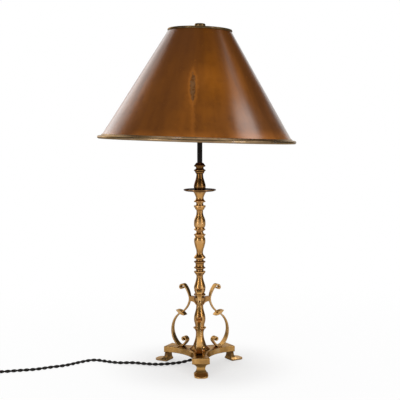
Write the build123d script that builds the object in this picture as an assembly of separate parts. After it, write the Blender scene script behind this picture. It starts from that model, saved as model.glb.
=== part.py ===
from build123d import *
import math
import os

# Turned brass table lamp on a three-armed base, with scroll brackets, a drip pan and a conical metal shade.
# Millimetres. Z is up, the table is Z = 0 and the column stands on the Z axis. The front arm points to -Y.

# Clearances shared by the whole lamp
slip_gap = 0.2
turning_gap = 0.4
key_gap = 0.05
overrun = 5.0

# Base plate
foot_height = 20.2
plate_thickness = 11.6
plate_reach = 71.4
plate_end_width = 33.8
plate_waist = 25.7
plate_edge = 0.7
arm_count = 3
front_arm_deg = -88.2

# Pad feet
foot_neck_width = 16.4
foot_neck_depth = 7.5
foot_neck_step = 3.6
foot_neck_height = 13.0
foot_seat_depth = 9.4
foot_pad_width = 26.8
foot_pad_height = 2.8
foot_toe = 27.0
foot_heel = 1.6
foot_tenon_radius = 3.0
foot_tenon_height = 7.0
foot_tenon_inset = 4.7
foot_edge = 1.0

# Turned column: one height for each turned piece, and the radius of its rings
ring_radius = 11.2
column_foot_height = 44.2
lower_vase_height = 45.0
bracket_hub_height = 21.5
middle_vase_height = 45.1
ring_spool_height = 20.0
inverted_vase_height = 54.3
upper_vase_height = 55.1
pan_trumpet_height = 24.7
candle_vase_height = 42.7
top_collar_height = 10.0

# Drip pan
pan_radius = 31.1
pan_thickness = 1.8
pan_lip_height = 1.5
pan_lip_run = 3.4

# Outlines of the turned pieces from bottom to top: share of the height, share of the ring radius,
# and whether the point is a corner of the outline or lies on a smooth curve
CORNER, SMOOTH = True, False
column_foot_shares = [
    (0.0, 1.74, CORNER), (0.035, 1.74, CORNER), (0.075, 1.5, SMOOTH), (0.15, 1.2, SMOOTH),
    (0.23, 1.06, SMOOTH), (0.42, 0.82, SMOOTH), (0.57, 0.7, SMOOTH), (0.69, 0.67, SMOOTH),
    (0.8, 0.72, SMOOTH), (0.89, 0.9, SMOOTH), (0.94, 1.11, CORNER), (0.97, 1.11, CORNER),
    (1.0, 0.8, CORNER),
]
lower_vase_shares = [
    (0.0, 0.8, CORNER), (0.06, 0.8, SMOOTH), (0.13, 0.85, SMOOTH), (0.22, 0.95, SMOOTH),
    (0.33, 1.0, SMOOTH), (0.47, 0.96, SMOOTH), (0.6, 0.84, SMOOTH), (0.73, 0.7, SMOOTH),
    (0.84, 0.62, SMOOTH), (1.0, 0.66, CORNER),
]
bracket_hub_shares = [
    (0.0, 0.66, CORNER), (0.14, 0.76, SMOOTH), (0.28, 0.92, SMOOTH), (0.37, 1.0, CORNER),
    (0.6, 1.0, CORNER), (0.62, 0.77, CORNER), (0.74, 0.73, CORNER), (0.81, 1.01, CORNER),
    (0.89, 1.01, CORNER), (1.0, 0.79, CORNER),
]
middle_vase_shares = [
    (0.0, 0.79, CORNER), (0.11, 0.95, SMOOTH), (0.16, 0.98, CORNER), (0.175, 0.93, CORNER),
    (0.19, 0.99, CORNER), (0.25, 1.0, SMOOTH), (0.345, 0.93, SMOOTH), (0.43, 0.82, SMOOTH),
    (0.545, 0.68, SMOOTH), (0.655, 0.59, SMOOTH), (0.77, 0.58, CORNER), (0.91, 1.0, CORNER),
    (0.95, 1.0, CORNER), (0.97, 0.68, CORNER), (1.0, 0.64, CORNER),
]
ring_spool_shares = [
    (0.0, 0.64, CORNER), (0.1, 0.66, CORNER), (0.2, 0.99, CORNER), (0.27, 0.99, CORNER),
    (0.4, 0.75, SMOOTH), (0.53, 0.72, SMOOTH), (0.67, 0.76, SMOOTH), (0.78, 0.99, CORNER),
    (0.86, 0.99, CORNER), (0.93, 0.68, CORNER), (1.0, 0.64, CORNER),
]
inverted_vase_shares = [
    (0.0, 0.64, CORNER), (0.03, 0.66, CORNER), (0.065, 1.0, CORNER), (0.095, 1.02, CORNER),
    (0.15, 0.82, SMOOTH), (0.215, 0.6, SMOOTH), (0.29, 0.57, SMOOTH), (0.37, 0.63, SMOOTH),
    (0.45, 0.76, SMOOTH), (0.53, 0.86, SMOOTH), (0.6, 0.94, SMOOTH), (0.67, 0.985, SMOOTH),
    (0.74, 0.965, SMOOTH), (0.79, 0.91, SMOOTH), (0.825, 0.79, CORNER), (0.86, 0.84, CORNER),
    (0.895, 1.0, CORNER), (0.925, 1.0, CORNER), (0.95, 0.72, CORNER), (1.0, 0.58, CORNER),
]
upper_vase_shares = [
    (0.0, 0.58, CORNER), (0.04, 0.64, CORNER), (0.08, 0.98, CORNER), (0.105, 0.98, CORNER),
    (0.135, 0.82, CORNER), (0.16, 0.79, CORNER), (0.205, 0.94, SMOOTH), (0.3, 1.0, SMOOTH),
    (0.41, 0.965, SMOOTH), (0.49, 0.86, SMOOTH), (0.58, 0.67, SMOOTH), (0.69, 0.57, SMOOTH),
    (0.775, 0.59, CORNER), (0.81, 0.79, CORNER), (0.86, 0.84, CORNER), (0.88, 1.01, CORNER),
    (0.94, 1.01, CORNER), (0.957, 0.66, CORNER), (1.0, 0.61, CORNER),
]
pan_trumpet_shares = [
    (0.0, 0.61, CORNER), (0.097, 0.64, CORNER), (0.145, 1.0, CORNER), (0.205, 1.0, CORNER),
    (0.334, 0.74, SMOOTH), (0.463, 0.66, SMOOTH), (0.646, 0.79, SMOOTH), (0.808, 0.94, SMOOTH),
    (0.948, 1.16, SMOOTH), (1.0, 1.25, CORNER),
]
candle_vase_shares = [
    (0.0, 0.95, CORNER), (0.092, 1.0, SMOOTH), (0.188, 1.02, SMOOTH), (0.293, 0.94, SMOOTH),
    (0.389, 0.835, SMOOTH), (0.503, 0.7, SMOOTH), (0.646, 0.595, SMOOTH), (0.732, 0.58, CORNER),
    (0.771, 0.74, CORNER), (0.833, 0.81, CORNER), (0.876, 1.0, CORNER), (0.909, 1.0, CORNER),
    (0.957, 0.71, CORNER), (1.0, 0.64, CORNER),
]
top_collar_shares = [
    (0.0, 0.64, CORNER), (0.14, 0.66, CORNER), (0.32, 0.97, CORNER), (0.46, 0.98, CORNER),
    (0.68, 0.82, SMOOTH), (0.88, 0.68, SMOOTH), (1.0, 0.57, CORNER),
]

# Scroll brackets: a flat bar, slim at its apex on the hub's lug and broad on the plate, bent in tangent arcs
# above the apex (arm, hook) and below it (neck, belly, hip, heel, rise, curl)
bar_thickness = 2.5
bar_width = 12.5
bar_width_shares = [
    (0.0, 1.0), (0.165, 0.92), (0.348, 0.66), (0.511, 0.52), (0.654, 0.48), (1.0, 0.48), (1.12, 0.68),
    (1.32, 0.78),
]
bar_filing = 0.4
bracket_turn_deg = -3.0
lug_reach = 20.9
lug_width = 8.0
lug_height = 9.6
lug_drop_share = 0.6
lug_rise_share = 0.4186
apex_radius = 16.0
arm_radius = 46.0
hook_radius = 5.8
hook_end_radius = 2.6
neck_radius = 39.0
hip_radius = 20.0
heel_radius = 8.5
rise_radius = 40.0
curl_radius = 5.6
curl_end_radius = 3.0
apex_up_deg = 12.0
arm_deg = 30.0
hook_deg = 140.0
hook_end_deg = 190.0
apex_down_deg = 10.0
neck_deg = 51.0
belly_deg = 103.0
hip_deg = 22.0
heel_deg = 66.0
rise_deg = 16.0
curl_deg = 140.0
curl_end_deg = 200.0
upper_arcs = [
    (apex_radius, apex_up_deg), (arm_radius, arm_deg), (hook_radius, hook_deg), (hook_end_radius, hook_end_deg),
]
neck_arcs = [(apex_radius, apex_down_deg), (neck_radius, neck_deg)]
foot_arcs = [
    (hip_radius, hip_deg), (heel_radius, heel_deg), (rise_radius, rise_deg),
    (curl_radius, curl_deg), (curl_end_radius, curl_end_deg),
]
leaf_length = 21.5
leaf_bulge = 3.0
leaf_width = 12.0
leaf_rise_deg = 26.0
rivet_radius = 2.0
rivet_inset = 7.0
base_screw_radius = 2.0
base_screw_head_radius = 3.8
base_screw_bite = 1.6

# Stem, its nut and washer, and the flex inside it
stem_radius = 5.0
stem_wall = 1.0
stem_tail = 0.1
stem_show = 40.3
nut_across_flats = 17.0
nut_height = 5.0
washer_radius = 11.0
washer_thickness = 1.2
bush_flange_radius = 5.2
bush_flange_thickness = 1.2
bush_length = 7.0
cord_radius = 3.15

# Lampholder
lock_nut_height = 3.2
saddle_thickness = 2.0
holder_boss_height = 7.5
holder_boss_radius = 8.6
cap_height = 21.0
cap_radius = 17.6
holder_wall = 0.8
shell_height = 47.0
shell_lap = 6.0
insulator_height = 14.0
liner_wall = 0.8
screw_shell_radius = 13.6
screw_shell_wall = 0.5
screw_shell_height = 26.0
contact_radius = 4.0
contact_height = 3.0
key_shaft_radius = 2.0
key_shaft_rise = 10.4
key_shaft_depth = 9.0
key_boss_radius = 4.0
key_boss_length = 4.0
key_grip_length = 11.0
key_grip_width = 14.0
key_grip_thickness = 4.0

# Bulb
bulb_cap_radius = 13.0
bulb_cap_length = 24.0
bulb_cap_wall = 0.6
bulb_contact_radius = 4.6
bulb_contact_height = 2.0
bulb_radius = 30.0
bulb_glass_length = 82.0
bulb_neck_radius = 11.6
bulb_glass_wall = 0.9
bulb_stem_radius = 4.0
bulb_stem_length = 34.0
filament_radius = 0.5
filament_span = 20.0
filament_rise = 16.0

# Harp
harp_wire_radius = 2.0
harp_foot_span = 48.0
harp_belly_span = 108.0
harp_shoulder_span = 62.0
harp_belly_share = 0.46
harp_shoulder_share = 0.86
harp_bend_radius = 20.0
saddle_width = 13.0
saddle_post_height = 16.0
ferrule_radius = 3.8
ferrule_height = 14.0
crown_radius = 7.0
crown_height = 9.0
bulb_headroom = 57.1
stud_radius = 3.0
stud_height = 15.0

# Shade: it leans on the harp's bent stud, to the right and away from the front
lean_right_deg = 1.7
lean_back_deg = 0.5
shade_height = 206.6
shade_top_radius = 59.5
shade_bottom_radius = 186.9
shade_wall = 0.9
shade_flare_run = 6.2
shade_flare_rise = 5.0
top_bead_radius = 2.4
bottom_bead_radius = 3.15
band_wall = 0.6
band_bead_radius = 1.1
spider_drop = 9.0
spider_hub_radius = 12.0
spider_hub_thickness = 2.4
spider_arm_width = 6.0
spider_arm_thickness = 2.0
spider_arm_count = 3
spider_turn_deg = 30.0

# Finial
finial_height = 21.0
finial_radius = 10.4
finial_shares = [
    (0.0, 0.72, CORNER), (0.12, 0.72, CORNER), (0.24, 0.46, SMOOTH), (0.42, 0.4, SMOOTH),
    (0.56, 0.52, SMOOTH), (0.66, 0.94, CORNER), (0.74, 1.0, SMOOTH), (0.86, 1.0, SMOOTH),
    (0.95, 0.94, SMOOTH), (1.0, 0.8, CORNER),
]

# Flex on the table: the route's points, chosen by hand
cord_route = [
    (0.0, 0.0, 18.9), (0.0, 0.0, 15.24), (-1.72, 0.2, 12.0), (-4.7, 0.9, 9.95), (-9.2, 2.2, 9.4),
    (-17.4, 4.4, 8.2), (-28.0, 4.2, 5.2), (-40.0, 1.0, 3.35), (-56.0, -4.6, 3.2), (-78.0, -10.8, 3.2),
    (-104.0, -6.8, 3.2), (-131.0, 3.2, 3.2), (-157.0, -0.4, 3.2), (-183.0, 11.0, 3.2),
    (-209.0, 25.0, 3.2), (-234.0, 7.0, 3.2), (-259.0, -18.5, 3.2), (-287.0, -30.0, 3.2),
    (-312.0, -45.5, 3.2), (-341.0, -52.0, 3.2), (-372.0, -61.5, 3.2), (-392.0, -64.8, 3.6),
    (-409.0, -66.2, 4.1), (-424.0, -65.6, 4.3), (-434.5, -65.0, 4.35), (-443.7, -65.0, 4.35),
]
bend_share = 0.45

# Coil of the flex: it spirals in, climbs half a turn and spirals out above itself
coil_centre_x = -450.0
coil_centre_y = -20.0
coil_outer_radius = 45.0
coil_pitch = 7.9
coil_layer_rise = 7.9
coil_lift = 1.2
coil_halves_in = 6
coil_halves_out = 5
tail_length = 40.0
tail_shares = [(0.0, 0.0, 0.0), (0.0, 0.2, 0.0), (0.03, 0.5, 0.45), (0.0, 0.8, 1.0), (0.0, 1.0, 1.0)]

# Tie and plug
tie_thickness = 0.9
tie_width = 9.0
tie_gap = 0.3
plug_length = 35.0
plug_width = 35.0
plug_thickness = 15.0
plug_waist_width = 17.0
plug_corner = 5.0
plug_edge = 2.5
plug_sleeve_length = 22.0
plug_sleeve_root_radius = 5.8
plug_sleeve_tip_radius = 4.4
pin_radius = 2.0
pin_length = 19.0
pin_span = 19.0
pin_tip = 0.8

# The column's pieces from bottom to top, and the heights and places that follow from the sizes above
column_stack = [
    ("column_foot", column_foot_height, column_foot_shares),
    ("lower_vase", lower_vase_height, lower_vase_shares),
    ("bracket_hub", bracket_hub_height, bracket_hub_shares),
    ("middle_vase", middle_vase_height, middle_vase_shares),
    ("ring_spool", ring_spool_height, ring_spool_shares),
    ("inverted_vase", inverted_vase_height, inverted_vase_shares),
    ("upper_vase", upper_vase_height, upper_vase_shares),
    ("pan_trumpet", pan_trumpet_height, pan_trumpet_shares),
    ("drip_pan", pan_thickness, None),
    ("candle_vase", candle_vase_height, candle_vase_shares),
    ("top_collar", top_collar_height, top_collar_shares),
]
plate_top = foot_height + plate_thickness
column_top = plate_top + sum(height for _, height, _ in column_stack)
apex_height = plate_top + column_foot_height + lower_vase_height + bracket_hub_height * lug_rise_share
lug_top = apex_height + lug_height / 2 - slip_gap
stem_bore = stem_radius + slip_gap
stem_bottom = foot_height - stem_tail
lock_nut_bottom = column_top + stem_show
saddle_top = lock_nut_bottom + lock_nut_height + saddle_thickness
holder_floor = saddle_top + cap_height - shell_lap
insulator_bottom = holder_floor + holder_wall
insulator_top = insulator_bottom + insulator_height
stem_top = saddle_top + holder_boss_height - holder_wall
shell_radius = cap_radius - holder_wall - slip_gap
shell_bore = shell_radius - holder_wall
bulb_bottom = insulator_top + contact_height
glass_bottom = bulb_bottom + bulb_contact_height + bulb_cap_length - bulb_neck_radius
crown_top = glass_bottom + bulb_glass_length + bulb_headroom + crown_height
arm_degs = [front_arm_deg + i * 360 / arm_count for i in range(arm_count)]
arm_names = ("front", "right", "left")
lean_run = [math.tan(math.radians(deg)) for deg in (lean_right_deg, lean_back_deg)]
lean_axis = Vector(*lean_run, 1).normalized()
lean = Plane(origin=(0, 0, crown_top), x_dir=(1, 0, -lean_axis.X / lean_axis.Z), z_dir=lean_axis).location


def turned(bottom, height, radius, shares, bore):
    """Solid of revolution about Z from an outline in shares, with a straight bore."""
    points = [(radius * r, bottom + height * z) for z, r, _ in shares]
    corners = [i for i, share in enumerate(shares) if share[2] == CORNER]
    edges = []
    for first, last in zip(corners, corners[1:]):
        run = points[first:last + 1]
        edges.append(Line(*run) if len(run) == 2 else Spline(*run))
    closing = [points[-1], (bore, bottom + height), (bore, bottom), points[0]]
    edges += [Line(a, b) for a, b in zip(closing, closing[1:]) if a != b]
    return revolve(Plane.XZ * make_face(edges), Axis.Z)


def tube(bottom, height, outer, inner):
    """Upright round tube on the column axis."""
    ring = Circle(outer) - Circle(inner)
    return Pos(0, 0, bottom) * extrude(ring, height)


def rod(bottom, height, radius):
    """Upright round rod on the column axis."""
    return Pos(0, 0, bottom) * extrude(Circle(radius), height)


def spun(points):
    """Solid of revolution about Z from a closed straight-sided outline of radius and height."""
    return revolve(Plane.XZ * make_face(Polyline(*points, close=True)), Axis.Z)


def around(shape, deg):
    """A shape built in the XZ plane towards +X, turned to an arm's direction."""
    return Rot(0, 0, deg) * shape


def save(shape, node):
    """Writes one node."""
    export_step(shape, f"parts/{node}.step")


# Base plate and feet
def plate_outline():
    half = plate_end_width / 2
    edges = []
    for i in range(arm_count):
        here, there = arm_degs[i], arm_degs[(i + 1) % arm_count]
        end = [Vector(plate_reach, side * half).rotate(Axis.Z, here) for side in (-1, 1)]
        waist = Vector(plate_waist, 0).rotate(Axis.Z, here + 180 / arm_count)
        start_next = Vector(plate_reach, -half).rotate(Axis.Z, there)
        edges += [Line(*end), ThreePointArc(end[1], waist, start_next)]
    return make_face(edges)


def foot_solid():
    """Pad foot towards +X: its front, side and plan outlines meet in one solid, with a tenon on top."""
    neck, half = foot_neck_width / 2, plate_end_width / 2
    pad = foot_pad_width / 2
    sole = pad - foot_edge
    front = [Line((half, foot_height), (-half, foot_height)), Line((sole, 0), (-sole, 0))]
    for side in (1, -1):
        knee, toe = (side * neck, foot_neck_height), (side * pad, foot_pad_height)
        front += [
            Spline((side * half, foot_height), knee, tangents=((-side, -0.15), (0, -1))),
            Spline(knee, toe, tangents=((0, -1), (side, -1))),
            Line(toe, (side * sole, 0)),
        ]
    neck_outer = plate_reach + foot_neck_step
    neck_inner = neck_outer - foot_neck_depth
    seat_inner = plate_reach - foot_seat_depth
    tip = plate_reach + foot_toe
    heel = neck_inner + foot_heel
    tip_height = foot_pad_height / 2
    profile = make_face([
        Line((seat_inner, foot_height), (plate_reach, foot_height)),
        Spline((plate_reach, foot_height), (neck_outer, foot_neck_height), tangents=((0.6, -1), (0.1, -1))),
        Spline(
            (neck_outer, foot_neck_height),
            (tip - foot_pad_height, foot_pad_height),
            tangents=((0.1, -1), (1, -0.05)),
        ),
        Spline(
            (tip - foot_pad_height, foot_pad_height),
            (tip, tip_height),
            (tip - tip_height, 0),
            tangents=((1, -0.05), (-1, 0)),
        ),
        Line((tip - tip_height, 0), (heel, 0)),
        Spline((heel, 0), (neck_inner, foot_neck_height / 2), tangents=((-1, 0), (0, 1))),
        Line((neck_inner, foot_neck_height / 2), (neck_inner, foot_neck_height)),
        Spline((neck_inner, foot_neck_height), (seat_inner, foot_height), tangents=((0, 1), (-1, 0.3))),
    ])
    front_bar = extrude(Plane.YZ * make_face(front), tip + overrun)
    side_bar = extrude(Plane.XZ * profile, plate_end_width, both=True)
    plan = Pos(tip - pad, 0) * Circle(pad)
    plan += Pos((tip - pad) / 2, 0) * Rectangle(tip - pad, plate_end_width + overrun)
    tenon = Pos(plate_reach - foot_tenon_inset, 0) * rod(foot_height, foot_tenon_height, foot_tenon_radius)
    return (front_bar & side_bar & extrude(plan, foot_height)) + tenon


# Scroll brackets
def arc_chain(start, heading, arcs, turn):
    """Tangent arcs of given radii and angles, one after another; a turn of 1 goes left and -1 right."""
    chain = []
    for radius, deg in arcs:
        chain.append(JernArc(start=start, tangent=heading, radius=radius, arc_size=deg * turn))
        start, heading = chain[-1] @ 1, chain[-1] % 1
    return chain


def fall_share(first_deg, last_deg):
    """How far an arc falls, over its radius, from one heading to another, with 90 level and outwards."""
    return math.sin(math.radians(first_deg)) - math.sin(math.radians(max(last_deg, -90)))


def bracket_arcs():
    """Upper, neck and lower arcs of a bracket; the belly's radius is what makes it stand on the plate."""
    apex = Vector(lug_reach + bar_thickness / 2, apex_height)
    upper = arc_chain(apex, Vector(0, 1), upper_arcs, -1)
    neck = arc_chain(apex, Vector(0, -1), neck_arcs, 1)
    joint, heading = neck[-1] @ 1, neck[-1] % 1
    belly_start = apex_down_deg + neck_deg
    belly_end = belly_start - belly_deg
    fall = joint.Y - plate_top - bar_thickness / 2 + bar_filing
    lowering = belly_end
    for radius, deg in foot_arcs:
        if lowering > -90:
            fall -= radius * fall_share(lowering, lowering - deg)
        lowering -= deg
    belly_radius = fall / fall_share(belly_start, belly_end)
    lower = arc_chain(joint, heading, [(belly_radius, belly_deg)] + foot_arcs, -1)
    return upper, neck, lower


def bracket_solid():
    """One scroll bracket in the XZ plane towards +X, filed flat where it stands on the plate."""
    upper, neck, lower = bracket_arcs()
    bar = None
    for arc in upper + neck + lower:
        path = Plane.XZ * arc
        start = Plane(origin=path @ 0, x_dir=(0, 1, 0), z_dir=path % 0)
        run = sweep(start * Rectangle(bar_width, bar_thickness), path)
        bar = run if bar is None else bar + run
    rise = apex_height - plate_top
    edge = [(bar_width * width / 2, plate_top + rise * height) for height, width in bar_width_shares]
    far_edge = [(-y, z) for y, z in reversed(edge)]
    ends = [Line(edge[-1], far_edge[0]), Line(far_edge[-1], edge[0])]
    front = make_face([Spline(*edge), Spline(*far_edge), *ends])
    bar &= extrude(Plane.YZ * front, plate_reach + overrun)
    joint = neck[-1] @ 1
    tip = leaf_length / 2
    outline = [ThreePointArc((-tip, 0), (0, side * leaf_bulge), (tip, 0)) for side in (-1, 1)]
    leaf = Plane.XZ * (Pos(joint.X, joint.Y) * Rot(0, 0, leaf_rise_deg) * make_face(outline))
    return bar + extrude(leaf, leaf_width / 2, both=True)


def bracket_foot_reach():
    """How far from the axis a bracket stands on the plate."""
    heel = bracket_arcs()[2][2]
    return heel.arc_center.X


def base_screw():
    """Countersunk screw up through the plate into a bracket, towards +X."""
    reach = bracket_foot_reach()
    cone_height = base_screw_head_radius - base_screw_radius
    outline = [
        (0, foot_height), (base_screw_head_radius, foot_height),
        (base_screw_radius, foot_height + cone_height),
        (base_screw_radius, plate_top + base_screw_bite), (0, plate_top + base_screw_bite),
    ]
    return Pos(reach, 0) * spun(outline)


def rivet():
    """Rivet through a bracket's bar into the hub's lug, filed flush with the bar, towards +X."""
    face = lug_reach + bar_thickness
    start = lug_reach - rivet_inset
    return Pos(start, 0, apex_height) * Rot(0, 90, 0) * extrude(Circle(rivet_radius), face - start)


def hub_lug():
    """One lug of the hub towards +X, with a coved underside; the bracket's bar shapes its end."""
    root = ring_radius * bracket_hub_shares[0][1]
    drop = lug_height * lug_drop_share
    end = lug_reach + slip_gap * 2
    lug_bottom = lug_top - lug_height
    outline = [
        Line((0, lug_top), (end, lug_top)),
        Line((end, lug_top), (end, lug_bottom)),
        Spline((end, lug_bottom), (root, lug_bottom - drop), tangents=((-1, 0), (-0.25, -1))),
        Line((root, lug_bottom - drop), (0, lug_bottom - drop)),
        Line((0, lug_bottom - drop), (0, lug_top)),
    ]
    return extrude(Plane.XZ * make_face(outline), lug_width / 2, both=True)


def make_base():
    screw, pin, bracket = base_screw(), rivet(), bracket_solid()
    screws = [around(screw, deg + bracket_turn_deg) for deg in arm_degs]
    pins = [around(pin, deg + bracket_turn_deg) for deg in arm_degs]
    foot = foot_solid()
    plate = Pos(0, 0, foot_height) * extrude(plate_outline(), plate_thickness)
    plate = chamfer(plate.faces().sort_by(Axis.Z)[-1].edges(), plate_edge)
    plate -= rod(foot_height - overrun, plate_thickness + overrun * 2, stem_bore)
    plate -= Pos(0, 0, foot_height) * extrude(Circle(washer_radius + slip_gap), nut_height + washer_thickness)
    for deg, name, cut in zip(arm_degs, arm_names, screws):
        placed = around(foot, deg)
        plate -= placed
        plate -= cut
        save(placed, f"foot_{name}")
        save(around(bracket - screw - pin, deg + bracket_turn_deg), f"bracket_{name}")
    save(plate, "base_plate")
    save(Compound(screws), "bracket_screws")
    save(Compound(pins), "bracket_rivets")
    return bracket, pin


# Turned column
def make_column(bracket, pin):
    bottom = plate_top
    vase_below = None
    for node, height, shares in column_stack:
        if shares is None:
            piece = drip_pan(bottom)
        else:
            piece = turned(bottom, height, ring_radius, shares, stem_bore)
        if node == "lower_vase":
            vase_below = piece
        if node == "bracket_hub":
            for deg in arm_degs:
                piece += around(hub_lug() - bracket - pin, deg + bracket_turn_deg)
            piece -= rod(0, crown_top, stem_bore)
            piece -= vase_below
        save(piece, node)
        bottom += height


def drip_pan(bottom):
    """Shallow turned dish with a raised lip."""
    dish = pan_radius - pan_lip_run
    top = bottom + pan_thickness
    return spun([
        (stem_bore, bottom), (dish, bottom), (pan_radius, bottom + pan_lip_height),
        (pan_radius, top + pan_lip_height), (pan_radius - pan_thickness / 2, top + pan_lip_height),
        (dish, top), (stem_bore, top),
    ])


# Stem and what holds it
def make_stem():
    bore = stem_radius - stem_wall
    stem = tube(stem_bottom, stem_top - stem_bottom, stem_radius, bore)
    save(stem, "stem_tube")
    washer_bottom = foot_height + nut_height
    save(tube(washer_bottom, washer_thickness, washer_radius, stem_bore), "stem_washer")
    hexagon = RegularPolygon(nut_across_flats / 2, 6, major_radius=False) - Circle(stem_bore)
    save(Pos(0, 0, foot_height) * extrude(hexagon, nut_height), "stem_nut")
    flange_bottom = stem_bottom - bush_flange_thickness
    sleeve = tube(flange_bottom, bush_length, bore - slip_gap / 2, cord_radius + slip_gap / 2)
    bush = sleeve + tube(flange_bottom, bush_flange_thickness, bush_flange_radius, cord_radius + slip_gap / 2)
    save(bush, "cord_bush")
    save(rod(flange_bottom, insulator_bottom - flange_bottom, cord_radius), "stem_flex")
    lock_nut = RegularPolygon(nut_across_flats / 2, 6, major_radius=False) - Circle(stem_bore)
    save(Pos(0, 0, lock_nut_bottom) * extrude(lock_nut, lock_nut_height), "lock_nut")


# Lampholder
def make_lampholder():
    inner = stem_bore
    cap_top = saddle_top + cap_height
    shoulder = saddle_top + holder_boss_height
    dome_bottom = cap_top - shell_lap * 2
    cap = spun([
        (inner, saddle_top), (holder_boss_radius, saddle_top), (holder_boss_radius, shoulder - holder_wall),
        (cap_radius, dome_bottom), (cap_radius, cap_top), (cap_radius - holder_wall, cap_top),
        (cap_radius - holder_wall, dome_bottom + holder_wall / 2),
        (holder_boss_radius - holder_wall, shoulder), (inner, shoulder),
    ])
    save(cap, "lampholder_cap")
    shaft_height = insulator_bottom + key_shaft_rise
    key_bore = Rot(90, 0, 0) * extrude(Circle(key_shaft_radius + key_gap), cap_radius * 2)
    hole = Pos(0, 0, shaft_height) * key_bore
    shell_bottom = cap_top - shell_lap
    shell = tube(shell_bottom, shell_height, shell_radius, shell_bore)
    save(shell - hole, "lampholder_shell")
    insulator_radius = shell_bore - slip_gap
    insulator = rod(insulator_bottom, insulator_height, insulator_radius)
    insulator -= Pos(0, -insulator_radius + key_shaft_depth, shaft_height) * key_bore
    save(insulator, "holder_insulator")
    liner_outer = insulator_radius
    liner_height = shell_bottom + shell_height - insulator_top - holder_wall
    save(tube(insulator_top, liner_height, liner_outer, liner_outer - liner_wall), "holder_liner")
    screw_outer = screw_shell_radius + screw_shell_wall
    save(tube(insulator_top, screw_shell_height, screw_outer, screw_shell_radius), "screw_shell")
    save(rod(insulator_top, contact_height, contact_radius), "centre_contact")
    make_switch_key(insulator_radius, shaft_height)


def make_switch_key(insulator_radius, shaft_height):
    """Turn key of the switch: shaft, round boss and a flat grip, along -Y."""
    boss_start = shell_radius + turning_gap
    shaft_start = insulator_radius - key_shaft_depth + turning_gap
    shaft = extrude(Circle(key_shaft_radius), boss_start - shaft_start)
    boss = Pos(0, 0, boss_start - shaft_start) * extrude(Circle(key_boss_radius), key_boss_length)
    grip_start = boss_start - shaft_start + key_boss_length
    grip_face = SlotOverall(key_grip_width, key_grip_length, rotation=0)
    grip = Pos(0, 0, grip_start + key_grip_length / 2 - key_boss_radius / 2) * Rot(90, 0, 0)
    grip = grip * extrude(grip_face, key_grip_thickness / 2, both=True)
    key = Pos(0, -shaft_start, shaft_height) * Rot(90, 0, 0) * (shaft + boss + grip)
    save(key, "switch_key")


# Bulb
def make_bulb():
    cap_bottom = bulb_bottom + bulb_contact_height
    outer, inner = bulb_cap_radius, bulb_cap_radius - bulb_cap_wall
    cap_top = cap_bottom + bulb_cap_length
    taper = bulb_cap_radius - bulb_contact_radius
    cap = spun([
        (0, cap_bottom), (bulb_contact_radius, cap_bottom), (outer, cap_bottom + taper / 2), (outer, cap_top),
        (inner, cap_top), (inner, cap_bottom + taper / 2 + bulb_cap_wall),
        (bulb_contact_radius, cap_bottom + bulb_cap_wall), (0, cap_bottom + bulb_cap_wall),
    ])
    save(cap, "bulb_cap")
    save(rod(bulb_bottom, bulb_contact_height, bulb_contact_radius), "bulb_contact")
    centre = glass_bottom + bulb_glass_length - bulb_radius

    def envelope(skin):
        ball, neck = bulb_radius - skin, bulb_neck_radius - skin
        top, foot = centre + ball, glass_bottom + skin
        middle = Vector(0, centre)
        slope, below, side = [middle + Vector(ball, 0).rotate(Axis.Z, deg) for deg in (45, -15, -30)]
        edges = [
            ThreePointArc((0, top), slope, (ball, centre)),
            ThreePointArc((ball, centre), below, side),
            Spline(side, (neck, foot + bulb_neck_radius), tangents=((-0.5, -0.87), (0, -1))),
            Line((neck, foot + bulb_neck_radius), (neck, foot)),
            Line((neck, foot), (0, foot)),
            Line((0, foot), (0, top)),
        ]
        return revolve(Plane.XZ * make_face(edges), Axis.Z)

    save(envelope(0) - envelope(bulb_glass_wall), "bulb_glass")
    stem_foot = glass_bottom + bulb_glass_wall
    save(rod(stem_foot, bulb_stem_length, bulb_stem_radius), "bulb_stem")
    make_filament(stem_foot + bulb_stem_length)


def make_filament(bottom):
    """Bent wire on top of the glass stem: two legs and a bridge."""
    half = filament_span / 2
    leg = bulb_stem_radius / 2
    top = bottom + filament_rise
    path = Plane.XZ * FilletPolyline(
        (-leg, bottom), (-leg, bottom + leg), (-half, top), (half, top), (leg, bottom + leg), (leg, bottom),
        radius=filament_radius * 2,
    )
    section = Plane(origin=path @ 0, z_dir=path % 0) * Circle(filament_radius)
    save(sweep(section, path), "bulb_filament")


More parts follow.
